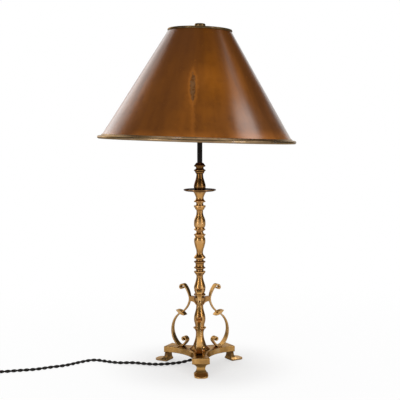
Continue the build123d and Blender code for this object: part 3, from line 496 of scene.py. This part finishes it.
def copper_sheet():
    """Lacquered copper sheet: patinated brown, darker towards the top, with shading painted towards both
    sides, a stain and orange wear.
    """
    settings = bpy.context.scene.lamp_shade
    material, tree, shader, place = new_material("copper_sheet")
    x, y, height = split_place(tree, place)
    level_place = add(tree, "ShaderNodeCombineXYZ", {0: x, 1: y}).outputs[0]
    around = add(tree, "ShaderNodeVectorMath", {0: level_place}, operation="NORMALIZE").outputs[0]
    side = split_place(tree, around)[0]
    climb = add(tree, "ShaderNodeCombineXYZ", {2: times(tree, height, STREAK_CLIMB)}).outputs[0]
    streak_place = add(tree, "ShaderNodeVectorMath", {0: around, 1: climb}, operation="ADD").outputs[0]
    streak = noise(tree, streak_place, scale=4.5, detail=3.0, roughness=0.5)
    cloud = noise(tree, place, scale=11.0, detail=4.0, roughness=0.55, distortion=0.3)
    mottle = noise(tree, place, scale=46.0, detail=5.0, roughness=0.62)
    fleck = noise(tree, place, scale=190.0, detail=3.0, roughness=0.6)
    base = blend_colours(tree, spread(tree, streak, 0.2, 0.7), settings.dark, settings.sheet)
    # Painted shading towards the left side, and in the masks below towards the right
    left_shading = times(tree, spread(tree, side, *LEFT_SHADING_STARTS), spread(tree, side, *LEFT_SHADING_ENDS))
    # Cloudy and mottled darkening, darker towards the top, and painted shading at both sides
    patina_and_shading = (
        spread(tree, cloud, 0.45, 0.8, new_high=0.5),
        spread(tree, mottle, 0.45, 0.72, new_high=0.4),
        spread(tree, height, *DARKER_TOP_HEIGHTS, new_high=0.75),
        spread(tree, left_shading, 0.0, 1.0, new_high=0.55),
        spread(tree, side, *RIGHT_SHADING_STARTS, new_high=0.45),
    )
    for mask in patina_and_shading:
        base = blend_colours(tree, mask, base, settings.dark)
    inside, border, drip = lens_stain(tree, place, settings)
    rim_wear = times(tree, spread(tree, height, *RIM_WEAR_HEIGHTS), spread(tree, cloud, 0.35, 0.55))
    bloom = orange_bloom(tree, place, mottle, settings)
    bare_flecks = spread(tree, fleck, 0.64, 0.82)
    for mask, share in ((rim_wear, 0.55), (bare_flecks, 0.25), (bloom, 0.45), (drip, 0.2), (border, 0.35)):
        base = blend_colours(tree, times(tree, mask, share), base, settings.warm)
    speck = blend_colours(tree, spread(tree, fleck, 0.4, 0.6), settings.stain_dark, settings.stain_pale)
    base = blend_colours(tree, times(tree, inside, 0.5), base, speck)
    thin_side = times(
        tree, spread(tree, side, *THIN_LACQUER_STARTS), spread(tree, side, *THIN_LACQUER_ENDS))
    thin_lacquer = times(tree, spread(tree, height, *THIN_LACQUER_HEIGHTS), thin_side)
    connect(tree, shader, Base_Color=base, Metallic=0.12, Specular_IOR_Level=0.05,
            Roughness=spread(tree, cloud, 0.3, 0.75, 0.36, 0.48), Coat_Roughness=0.22, Coat_IOR=1.7,
            Coat_Weight=spread(tree, thin_lacquer, 0.0, 1.0, 0.8, 0.25),
            Normal=relief(tree, fleck, strength=0.012, depth=GRAIN_DEPTH))
    return material


def plain_finish(name, colour, accent, metallic=0.0, roughness=0.4, scale=120.0, grain=0.08, **more):
    """A finish with cloudy colour and a fine grain, for the smaller pieces."""
    material, tree, shader, place = new_material(name)
    cloud = noise(tree, place, scale, detail=4.0, roughness=0.6)
    fine = noise(tree, place, scale * GRAIN_FINENESS, detail=2.0, roughness=0.6)
    connect(tree, shader, Metallic=metallic,
            Base_Color=blend_colours(tree, spread(tree, cloud, 0.35, 0.7), colour, accent),
            Roughness=spread(tree, cloud, 0.3, 0.7, roughness * 0.8, roughness * 1.2),
            Normal=relief(tree, fine, strength=grain, depth=FINE_DEPTH), **more)
    return material


def crossed_threads(tree, phases):
    """The height of threads that cross, from the phases of the two sets."""
    waves = [math_node(tree, "SINE", times(tree, phase, math.pi)) for phase in phases]
    return times(tree, *(math_node(tree, "ABSOLUTE", wave) for wave in waves))


def woven_band():
    """Black woven tape: crossing threads on the piece's Object coordinates."""
    material, tree, shader, place = new_material("woven_band")
    x, y, z = split_place(tree, place)
    along = math_node(tree, "ADD", x, z)
    weave = crossed_threads(tree, (times(tree, y, 1.0 / BAND_WARP), times(tree, along, 1.0 / BAND_WEFT)))
    # Painted shade in the gaps between the threads, lighter on their crowns
    connect(tree, shader, Base_Color=blend_colours(tree, weave, (0.008, 0.008, 0.008), (0.05, 0.048, 0.045)),
            Roughness=0.75, Sheen_Weight=0.3, Sheen_Roughness=0.5,
            Normal=relief(tree, weave, strength=0.5, depth=THREAD_DEPTH))
    return material


def cotton_braid():
    """Braided cotton over the flex's cores, along the piece's own UV map."""
    colour = bpy.context.scene.lamp_flex.colour
    material, tree, shader, _ = new_material("cotton_braid")
    around, along, _ = split_place(tree, add(tree, "ShaderNodeUVMap", uv_map="lay").outputs[0])
    climb = times(tree, along, BRAID_PER_METRE)
    windings = [times(tree, around, strands) for strands in (BRAID_AROUND, -BRAID_AROUND)]
    braid = crossed_threads(tree, [math_node(tree, "ADD", winding, climb) for winding in windings])
    # Painted shade in the gaps between the threads, lighter on their crowns
    connect(tree, shader, Base_Color=blend_colours(tree, braid, scaled(colour, 0.5), scaled(colour, 2.2)),
            Roughness=0.72, Specular_IOR_Level=0.25, Sheen_Weight=0.08, Sheen_Roughness=0.5,
            Normal=relief(tree, braid, strength=0.5, depth=THREAD_DEPTH))
    return material


def half_turn(side, start_reach, end_reach, low, high, share=1.0):
    """Control points of a half turn of the coil, or a share of one, from one height to another."""
    radius = (start_reach + end_reach) / 2
    middle_y = COIL_Y + side * (start_reach - end_reach) / 2
    step = math.pi / POINTS_PER_HALF_TURN
    wide = radius / math.cos(step / 2)
    points = []
    for i in range(int(POINTS_PER_HALF_TURN * share)):
        turn = (i + 0.5) * step
        climb = (1 - math.cos(turn)) / 2
        x = COIL_X + side * wide * math.sin(turn)
        y = middle_y + side * wide * math.cos(turn)
        points.append((x, y, low + (high - low) * climb))
    return points


def coil_points(settings):
    """Control points of the coil and its end: half turns in, one that climbs, half turns out, a quarter."""
    pitch = settings.coil_pitch
    upper_layer = COIL_LAYER + pitch
    reach = settings.coil_radius
    side = -1
    points = []
    for _ in range(INWARD_HALF_TURNS):
        points += half_turn(side, reach, reach - pitch / 2, COIL_LAYER, COIL_LAYER)
        reach -= pitch / 2
        side = -side
    points += half_turn(side, reach, reach, COIL_LAYER, upper_layer)
    side = -side
    for _ in range(OUTWARD_HALF_TURNS):
        points += half_turn(side, reach, reach + pitch / 2, upper_layer, upper_layer)
        reach += pitch / 2
        side = -side
    points += half_turn(side, reach, reach + pitch / 2, upper_layer, upper_layer, share=0.5)
    last_radius = reach + pitch / 4
    end = (COIL_X + side * last_radius, COIL_Y + side * (reach - last_radius), upper_layer)
    return points, end


def flex_controls(settings):
    """Control points of the whole flex: lead, coil and tail up to the plug's sleeve."""
    lead = [tuple(MM * c for c in point) for point in FLEX_ROUTE]
    turns, (end_x, end_y, end_z) = coil_points(settings)
    start_y = end_y + settings.diameter
    drop = end_z - PLUG_HEIGHT
    tail = [(end_x, end_y, end_z)]
    for x, y, z in TAIL_SHARES:
        tail.append((end_x + TAIL_LENGTH * x, start_y + TAIL_LENGTH * y, end_z - drop * z))
    return lead + turns + tail


def spline_points(name, controls):
    """Points along a smooth spline with these control points."""
    curve = bpy.data.curves.new(name, "CURVE")
    curve.dimensions = "3D"
    curve.resolution_u = SPLINE_STEPS
    spline = curve.splines.new("NURBS")
    spline.points.add(len(controls) - 1)
    for point, place in zip(spline.points, controls):
        point.co = (*place, 1.0)
    spline.order_u = SPLINE_ORDER
    spline.use_endpoint_u = True
    route = bpy.data.objects.new(name, curve)
    bpy.context.collection.objects.link(route)
    mesh = bpy.data.meshes.new_from_object(route)
    points = [vertex.co.copy() for vertex in mesh.vertices]
    bpy.data.objects.remove(route)
    bpy.data.curves.remove(curve)
    bpy.data.meshes.remove(mesh)
    return points


def even_points(points, step):
    """The same line with evenly spaced points."""
    even = [points[0].copy()]
    left = step
    for a, b in zip(points, points[1:]):
        length = (b - a).length
        while length >= left > 0:
            a = a.lerp(b, left / length)
            even.append(a.copy())
            length -= left
            left = step
        left -= length
    if (even[-1] - points[-1]).length > step / 4:
        even.append(points[-1].copy())
    return even


def core_rings(points, settings):
    """Corners of the rings of two cores wound round a line, and each core's rings with their run."""
    core = settings.diameter / 4
    normal = Vector((1.0, 0.0, 0.0))
    verts = []
    strands = ([], [])
    run = 0.0
    for i, point in enumerate(points):
        before = points[max(i - 1, 0)]
        after = points[min(i + 1, len(points) - 1)]
        tangent = (after - before).normalized()
        normal = (normal - tangent * normal.dot(tangent)).normalized()
        across = tangent.cross(normal)
        run += (point - before).length
        turn = 2 * math.pi * run / settings.twist
        for strand, rings in enumerate(strands):
            angle = turn + strand * math.pi
            out = normal * math.cos(angle) + across * math.sin(angle)
            over = tangent.cross(out)
            centre = point + out * core
            rings.append((range(len(verts), len(verts) + settings.sides), run))
            for j in range(settings.sides):
                spin = 2 * math.pi * j / settings.sides
                verts.append(centre + (out * math.cos(spin) + over * math.sin(spin)) * core)
    return verts, strands


def twisted_cores(name, points, settings):
    """Mesh of two cores wound round each other along a line of points, with a UV map along each core."""
    sides = settings.sides
    verts, strands = core_rings(points, settings)
    faces = []
    uvs = []
    for rings in strands:
        for (lower, v0), (upper, v1) in zip(rings, rings[1:]):
            for j in range(sides):
                k = (j + 1) % sides
                faces.append((lower[j], lower[k], upper[k], upper[j]))
                uvs += [(j / sides, v0), ((j + 1) / sides, v0), ((j + 1) / sides, v1), (j / sides, v1)]
        first, v_first = rings[0]
        last, v_last = rings[-1]
        faces += [tuple(reversed(first)), tuple(last)]
        uvs += [(0.0, v_first)] * sides + [(0.0, v_last)] * sides
    mesh = bpy.data.meshes.new(name)
    mesh.from_pydata(verts, [], faces)
    layer = mesh.uv_layers.new(name="lay")
    for loop, uv in zip(layer.data, uvs):
        loop.uv = uv
    mesh.shade_smooth()
    return mesh


def link(name, mesh):
    """A new object in the scene."""
    obj = bpy.data.objects.new(name, mesh)
    bpy.context.collection.objects.link(obj)
    return obj


def growing_tree(name, sizes):
    """A Geometry Nodes tree with a named input for each size; returns it with the sockets of its sizes."""
    tree = bpy.data.node_groups.new(name, "GeometryNodeTree")
    tree.interface.new_socket("Geometry", in_out="OUTPUT", socket_type="NodeSocketGeometry")
    tree.interface.new_socket("Geometry", in_out="INPUT", socket_type="NodeSocketGeometry")
    for key, value in sizes.items():
        kind = "NodeSocketInt" if isinstance(value, int) else "NodeSocketFloat"
        tree.interface.new_socket(key, in_out="INPUT", socket_type=kind)
    sockets = add(tree, "NodeGroupInput").outputs
    return tree, {key: sockets[key] for key in sizes}


def finish_tree(tree, geometry, material):
    """Ends a tree: smooth shading, instances made real, and the material."""
    smooth = add(tree, "GeometryNodeSetShadeSmooth", {"Geometry": geometry}).outputs[0]
    real = add(tree, "GeometryNodeRealizeInstances", {"Geometry": smooth}).outputs[0]
    painted = add(tree, "GeometryNodeSetMaterial", {"Geometry": real, "Material": material}).outputs[0]
    add(tree, "NodeGroupOutput", {0: painted})


def grown(name, tree, sizes):
    """Object whose plain mesh is what a Geometry Nodes tree gives for these sizes."""
    piece = link(name, bpy.data.meshes.new(name))
    modifier = piece.modifiers.new("grow", "NODES")
    modifier.node_group = tree
    for item in tree.interface.items_tree:
        if item.in_out == "INPUT" and item.name in sizes:
            modifier[item.identifier] = sizes[item.name]
    evaluated = piece.evaluated_get(bpy.context.evaluated_depsgraph_get())
    mesh = bpy.data.meshes.new_from_object(evaluated)
    piece.modifiers.remove(modifier)
    piece.data = mesh
    return piece


def moved(tree, geometry, place, turn=(0.0, 0.0, 0.0)):
    """Geometry turned and moved to its place."""
    inputs = {"Geometry": geometry, "Translation": place, "Rotation": turn}
    return add(tree, "GeometryNodeTransform", inputs).outputs[0]


def ring(tree, radius, corners):
    """A closed round curve."""
    inputs = {"Resolution": corners, "Radius": radius}
    return add(tree, "GeometryNodeCurvePrimitiveCircle", inputs).outputs[0]


def rounded_rectangle(tree, width, height, corner, steps):
    """A closed rectangular curve with round corners."""
    sizes = {"Width": width, "Height": height}
    sharp = add(tree, "GeometryNodeCurvePrimitiveQuadrilateral", sizes).outputs[0]
    inputs = {"Curve": sharp, "Radius": corner, "Limit Radius": True, "Count": steps}
    return add(tree, "GeometryNodeFilletCurve", inputs, mode="POLY").outputs[0]


def along_curve(tree, curve, profile):
    """A solid with this profile all along a curve."""
    inputs = {"Curve": curve, "Profile Curve": profile, "Fill Caps": True}
    return add(tree, "GeometryNodeCurveToMesh", inputs).outputs[0]


def thread_tree(sizes, place, material):
    """Rolled thread: a round bead along a helix."""
    tree, size = growing_tree("rolled_thread", sizes)
    points_per_turn = 40
    helix = add(tree, "GeometryNodeCurveSpiral", {
        "Resolution": points_per_turn, "Rotations": size["Turns"], "Start Radius": size["Radius"],
        "End Radius": size["Radius"], "Height": size["Height"]}).outputs[0]
    bead = ring(tree, size["Bead"], corners=8)
    finish_tree(tree, moved(tree, along_curve(tree, helix, bead), place), material)
    return tree


def rib_tree(sizes, place, material):
    """Moulded ribs: rings in a row along Y, wider towards the far end."""
    tree, size = growing_tree("sleeve_ribs", sizes)
    hoop = ring(tree, 1.0, corners=28)
    bead = ring(tree, size["Bead"], corners=8)
    share = math_node(tree, "DIVIDE", add(tree, "GeometryNodeInputIndex").outputs[0], size["Count"])
    growth = math_node(tree, "SUBTRACT", size["Root radius"], size["Tip radius"])
    radius = math_node(tree, "ADD", size["Tip radius"], times(tree, share, growth))
    step = add(tree, "ShaderNodeCombineXYZ", {1: size["Step"]}).outputs[0]
    row = add(tree, "GeometryNodeMeshLine", {"Count": size["Count"], "Offset": step}).outputs[0]
    set_on = add(tree, "GeometryNodeInstanceOnPoints", {
        "Points": row, "Instance": hoop, "Rotation": (math.pi / 2, 0.0, 0.0), "Scale": radius}).outputs[0]
    rings = add(tree, "GeometryNodeRealizeInstances", {"Geometry": set_on}).outputs[0]
    finish_tree(tree, moved(tree, along_curve(tree, rings, bead), place), material)
    return tree


def band_tree(sizes, place, material):
    """Woven band closed round a rounded rectangle in the XZ plane."""
    tree, size = growing_tree("tie_band", sizes)
    corner_share = 0.45
    loop = rounded_rectangle(tree, size["Length"], size["Rise"], size["Corner"], steps=8)
    web_corner = times(tree, size["Thickness"], corner_share)
    web = rounded_rectangle(tree, size["Thickness"], size["Width"], web_corner, steps=4)
    finish_tree(tree, moved(tree, along_curve(tree, loop, web), place, (math.pi / 2, 0.0, 0.0)), material)
    return tree


class LAMP_OT_stage(bpy.types.Operator):
    """Sets the camera, the floor, the world and the lights"""

    bl_idname = "lamp.stage"
    bl_label = "Studio"

    def execute(self, context):
        settings = context.scene.lamp_stage
        context.scene.view_settings.view_transform = "Standard"
        self.camera(context, settings)
        self.floor(settings)
        self.world(context, settings)
        for name, (place, size, power, falls) in LIGHTS.items():
            self.light(name, place, size, power * settings.light_level, falls)
        return {"FINISHED"}

    def camera(self, context, settings):
        """The camera in front of the lamp, tilted down a little."""
        data = bpy.data.cameras.new("view")
        data.lens = settings.camera_lens
        data.sensor_width = SENSOR_WIDTH
        data.sensor_fit = "HORIZONTAL"
        data.shift_x = settings.camera_shift
        data.clip_end = CAMERA_REACH
        camera = bpy.data.objects.new("view", data)
        camera.location = (0.0, -settings.camera_distance, settings.camera_height)
        camera.rotation_euler = (math.pi / 2 - settings.camera_pitch, 0.0, 0.0)
        context.collection.objects.link(camera)
        context.scene.camera = camera

    def floor(self, settings):
        """A white floor that takes the lamp's shadow near it; in the metal's gloss it has painted light in
        front and a painted shadow under the plate.
        """
        corners = [(x * FLOOR_HALF, y * FLOOR_HALF, 0.0) for x, y in ((-1, -1), (1, -1), (1, 1), (-1, 1))]
        mesh = bpy.data.meshes.new("floor")
        mesh.from_pydata(corners, [], [(0, 1, 2, 3)])
        floor = link("floor", mesh)
        floor.location.z = -FLOOR_DROP
        material = bpy.data.materials.new("floor")
        material.use_nodes = True
        tree = material.node_tree
        tree.nodes.clear()
        path = add(tree, "ShaderNodeLightPath").outputs
        place = add(tree, "ShaderNodeTexCoord").outputs["Object"]
        far = add(tree, "ShaderNodeVectorMath", {0: place}, operation="LENGTH").outputs["Value"]
        back = split_place(tree, place)[1]
        near_glow = spread(tree, far, *CONTACT_SHADOW, settings.floor_glow, settings.floor_far)
        glow_share = spread(tree, far, *PALING_FLOOR, near_glow, 1.0)
        # Painted light in front and a painted shadow under the plate, seen only in the metal's gloss
        lit_front = spread(tree, back, *FRONT_TO_BACK, settings.floor_front, settings.floor_back)
        mirrored_floor_light = times(tree, lit_front, spread(tree, far, *UNDER_PLATE_SHADOW, new_low=UNDER_PLATE_SHADOW_LEVEL))
        mirrored = times(tree, path["Is Glossy Ray"], mirrored_floor_light)
        seen = math_node(tree, "MAXIMUM", path["Is Camera Ray"], path["Is Transmission Ray"])
        strength = math_node(tree, "MAXIMUM", seen, mirrored)
        matte = add(tree, "ShaderNodeBsdfDiffuse", {"Color": (*settings.floor_colour, 1.0)}).outputs[0]
        glow = add(tree, "ShaderNodeEmission", {"Color": WHITE, "Strength": strength}).outputs[0]
        mixed = add(tree, "ShaderNodeMixShader", {0: glow_share, 1: matte, 2: glow}).outputs[0]
        add(tree, "ShaderNodeOutputMaterial", {0: mixed})
        paint(floor, material)

    def world(self, context, settings):
        """Even light from all round; the metal mirrors a white backdrop and a dimmer room."""
        world = bpy.data.worlds.new("studio")
        context.scene.world = world
        world.use_nodes = True
        tree = world.node_tree
        tree.nodes.clear()
        path = add(tree, "ShaderNodeLightPath").outputs
        right, back, rise = split_place(tree, add(tree, "ShaderNodeTexCoord").outputs["Generated"])
        behind = times(tree, spread(tree, back, *BACKDROP_BACK), spread(tree, rise, *BACKDROP_RISE))
        backdrop = times(tree, behind, spread(tree, right, *BACKDROP_RIGHT))
        low_front = times(tree, spread(tree, rise, *FRONT_RISE), spread(tree, back, *FRONT_BACK))
        room = spread(tree, low_front, 0.0, 1.0, settings.side_room, settings.front_room)
        mirrored = spread(tree, backdrop, 0.0, 1.0, room, 1.0)
        glossy = math_node(tree, "MAXIMUM", path["Is Glossy Ray"], path["Is Transmission Ray"])
        unseen = add(tree, "ShaderNodeMix", {0: glossy, 2: settings.room_light, 3: mirrored}).outputs[0]
        strength = math_node(tree, "MAXIMUM", path["Is Camera Ray"], unseen)
        light = add(tree, "ShaderNodeBackground", {"Color": WHITE, "Strength": strength}).outputs[0]
        add(tree, "ShaderNodeOutputWorld", {0: light})

    def light(self, name, place, size, power, falls):
        """An area light aimed at the lamp; one that doesn't fall on it shows in the gloss alone."""
        data = bpy.data.lights.new(name, "AREA")
        data.shape = "RECTANGLE"
        data.energy = power
        data.size, data.size_y = size
        lamp = bpy.data.objects.new(name, data)
        lamp.location = place
        aim = Vector(LIGHT_AIM) - Vector(place)
        lamp.rotation_euler = aim.to_track_quat("-Z", "Y").to_euler()
        lamp.visible_camera = False
        lamp.visible_diffuse = falls
        bpy.context.collection.objects.link(lamp)


class LAMP_OT_flex(bpy.types.Operator):
    """Winds the two cores of the flex along its route, through the coil and up to the plug"""

    bl_idname = "lamp.flex"
    bl_label = "Twisted flex"

    def execute(self, context):
        settings = context.scene.lamp_flex
        points = even_points(spline_points("flex_route", flex_controls(settings)), settings.step)
        braid = cotton_braid()
        flex = link("twisted_flex", twisted_cores("twisted_flex", points, settings))
        paint(flex, braid)
        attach(flex, "stand")
        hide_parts("cord_lead", "cord_coil", "cord_tail")
        on_flex = [bpy.data.objects[name] for name in ("tie_band", "sleeve_ribs")]
        on_flex += [NODES[node] for node in ("plug_sleeve", "plug_body", "plug_pins")]
        low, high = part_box("stem_flex")
        straight = even_points([Vector((0.0, 0.0, low[2])), Vector((0.0, 0.0, high[2]))], settings.step)
        inner = link("stem_cores", twisted_cores("stem_cores", straight, settings))
        paint(inner, braid)
        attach(inner, "stand")
        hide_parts("stem_flex")
        return {"FINISHED"}


class LAMP_OT_tie(bpy.types.Operator):
    """Closes a woven band round the turns of the coil"""

    bl_idname = "lamp.tie"
    bl_label = "Coil tie"

    def execute(self, context):
        low, high = (Vector(corner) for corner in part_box("cord_tie"))
        thickness = 0.9 * MM
        sizes = {
            "Length": high.x - low.x - thickness, "Rise": high.z - low.z - thickness, "Corner": 3.6 * MM,
            "Thickness": thickness, "Width": high.y - low.y,
        }
        band = grown("tie_band", band_tree(sizes, (low + high) / 2, woven_band()), sizes)
        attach(band, "stand")
        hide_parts("cord_tie")
        return {"FINISHED"}


class LAMP_OT_sleeve_ribs(bpy.types.Operator):
    """Sets moulded ribs along the plug's sleeve"""

    bl_idname = "lamp.sleeve_ribs"
    bl_label = "Sleeve ribs"

    def execute(self, context):
        low, high = (Vector(corner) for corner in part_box("plug_sleeve"))
        middle = (low + high) / 2
        tip_gap = 2.2 * MM
        sizes = {
            "Count": 6, "Step": 3.2 * MM, "Tip radius": 4.45 * MM, "Root radius": 5.7 * MM, "Bead": 0.6 * MM,
        }
        rubber = plain_finish("rib_rubber", *RUBBER, roughness=0.6)
        ribs = grown("sleeve_ribs", rib_tree(sizes, (middle.x, low.y + tip_gap, middle.z), rubber), sizes)
        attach(ribs, "stand")
        return {"FINISHED"}


class LAMP_OT_bulb_thread(bpy.types.Operator):
    """Rolls the thread round the bulb's cap"""

    bl_idname = "lamp.bulb_thread"
    bl_label = "Bulb thread"

    def execute(self, context):
        low, high = (Vector(corner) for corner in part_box("bulb_cap"))
        sunk = 0.05 * MM
        lead_in = 5.5 * MM
        sizes = {
            "Turns": 4.2, "Radius": (high.x - low.x) / 2 - sunk, "Height": 15.0 * MM, "Bead": 0.36 * MM,
        }
        bright = plain_finish("thread_brass", *BRIGHT_BRASS, metallic=1.0, roughness=0.26)
        thread = grown("bulb_thread", thread_tree(sizes, (0.0, 0.0, low.z + lead_in), bright), sizes)
        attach(thread, "bulb")
        return {"FINISHED"}


class LAMP_OT_brass(bpy.types.Operator):
    """Finishes the turned column, the castings and the black stem"""

    bl_idname = "lamp.brass"
    bl_label = "Brass column and base"

    def execute(self, context):
        shade_and_tarnish = context.scene.lamp_brass.shade_and_tarnish
        dull_share = 0.6
        front_lit_tone = (1.3, 1.42, 1.62)
        paint_nodes(POLISHED_NODES, turned_brass("turned_brass", shade_and_tarnish=0.0, lacquer=0.5))
        # The hub and spool take a share of the same painted shade and tarnish
        paint_nodes(DULL_NODES, turned_brass("dull_turned_brass", shade_and_tarnish=dull_share * shade_and_tarnish, lacquer=0.3))
        paint_nodes(UPPER_SHADED_NODES, turned_brass("shaded_tarnished_brass", shade_and_tarnish=shade_and_tarnish, lacquer=0.1))
        # Painted light: the front pieces in a lighter, less tarnished copy of the cast brass
        paint_nodes(FRONT_LIT_NODES, cast_brass("front_lit_brass", front_lit_tone, rub=0.75, tarnish=0.2))
        paint_nodes(SIDE_FEET, cast_brass("neck_shaded_brass", neck=0.75))
        paint_nodes(CAST_NODES, cast_brass())
        paint(NODES["stem_tube"], plain_finish(
            "black_tube", (0.010, 0.007, 0.005), (0.016, 0.011, 0.008), roughness=0.45,
            Specular_IOR_Level=0.15))
        return {"FINISHED"}


class LAMP_OT_shade(bpy.types.Operator):
    """Finishes the shade in patinated copper sheet, with its rims and finial"""

    bl_idname = "lamp.shade"
    bl_label = "Copper shade"

    def execute(self, context):
        rim_tone = (0.6, 0.78, 1.6)
        black_tone = (0.3, 0.36, 0.5)
        paint(NODES["shade_cone"], copper_sheet())
        paint(NODES["shade_bottom_rim"], cast_brass("rim_brass", rim_tone, rub=0.6, tarnish=0.3))
        paint_nodes(BLACKENED_NODES, cast_brass("dull_brass", black_tone, rub=0.25, tarnish=0.85))
        return {"FINISHED"}


class LAMP_OT_fittings(bpy.types.Operator):
    """Finishes the lampholder, the bulb, the nuts and the plug"""

    bl_idname = "lamp.fittings"
    bl_label = "Fittings"

    def execute(self, context):
        steel = plain_finish(
            "plain_steel", (0.42, 0.41, 0.39), (0.3, 0.29, 0.27), metallic=1.0, roughness=0.34)
        bright = plain_finish("contact_brass", *BRIGHT_BRASS, metallic=1.0, roughness=0.26)
        glaze = plain_finish(
            "porcelain", (0.78, 0.75, 0.68), (0.72, 0.69, 0.6), roughness=0.16, Coat_Weight=0.6)
        card = plain_finish(
            "insulating_card", (0.1, 0.06, 0.03), (0.14, 0.09, 0.05), roughness=0.7, scale=300.0, grain=0.3)
        bakelite = plain_finish("dark_bakelite", (0.012, 0.008, 0.006), (0.022, 0.013, 0.009), roughness=0.2)
        rubber = plain_finish("soft_rubber", *RUBBER, roughness=0.6)
        glass = plain_finish(
            "clear_glass", (1.0, 1.0, 1.0), (0.97, 0.98, 0.98), roughness=0.02, grain=0.0,
            Transmission_Weight=1.0, IOR=1.45)
        paint_nodes(("bracket_screws", "stem_nut", "stem_washer", "lock_nut", "bulb_filament"), steel)
        paint_nodes(("screw_shell", "centre_contact", "bulb_cap", "bulb_contact", "plug_pins"), bright)
        paint_nodes(("holder_insulator",), glaze)
        paint_nodes(("holder_liner",), card)
        paint_nodes(("switch_key", "plug_body"), bakelite)
        paint_nodes(("cord_bush", "plug_sleeve"), rubber)
        paint_nodes(("bulb_glass", "bulb_stem"), glass)
        return {"FINISHED"}


class LAMP_PT_panel(bpy.types.Panel):
    """Lists the steps that dress the lamp"""

    bl_label = "Table Lamp"
    bl_idname = "LAMP_PT_panel"
    bl_space_type = "VIEW_3D"
    bl_region_type = "UI"
    bl_category = "Table Lamp"

    def draw(self, context):
        for operator in OPERATORS:
            self.layout.operator(operator.bl_idname)
        for group, cls in SETTINGS.items():
            box = self.layout.box()
            for key in cls.__annotations__:
                box.prop(getattr(context.scene, group), key)


OPERATORS = (
    LAMP_OT_stage, LAMP_OT_tie, LAMP_OT_sleeve_ribs, LAMP_OT_flex,
    LAMP_OT_brass, LAMP_OT_shade, LAMP_OT_fittings, LAMP_OT_bulb_thread,
)
SETTINGS = {
    "lamp_stage": StageSettings,
    "lamp_brass": BrassSettings,
    "lamp_shade": ShadeSettings,
    "lamp_flex": FlexSettings,
}


def register():
    for cls in (*SETTINGS.values(), *OPERATORS, LAMP_PT_panel):
        bpy.utils.register_class(cls)
    for name, cls in SETTINGS.items():
        setattr(bpy.types.Scene, name, bpy.props.PointerProperty(type=cls))


def unregister():
    for name in SETTINGS:
        delattr(bpy.types.Scene, name)
    for cls in reversed((*SETTINGS.values(), *OPERATORS, LAMP_PT_panel)):
        bpy.utils.unregister_class(cls)


def main():
    """Dresses the lamp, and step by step."""
    register()
    bpy.ops.lamp.stage()
    bpy.ops.lamp.tie()
    bpy.ops.lamp.sleeve_ribs()
    bpy.ops.lamp.flex()
    bpy.ops.lamp.brass()
    bpy.ops.lamp.shade()
    bpy.ops.lamp.fittings()
    bpy.ops.lamp.bulb_thread()


if __name__ == "__main__":
    main()
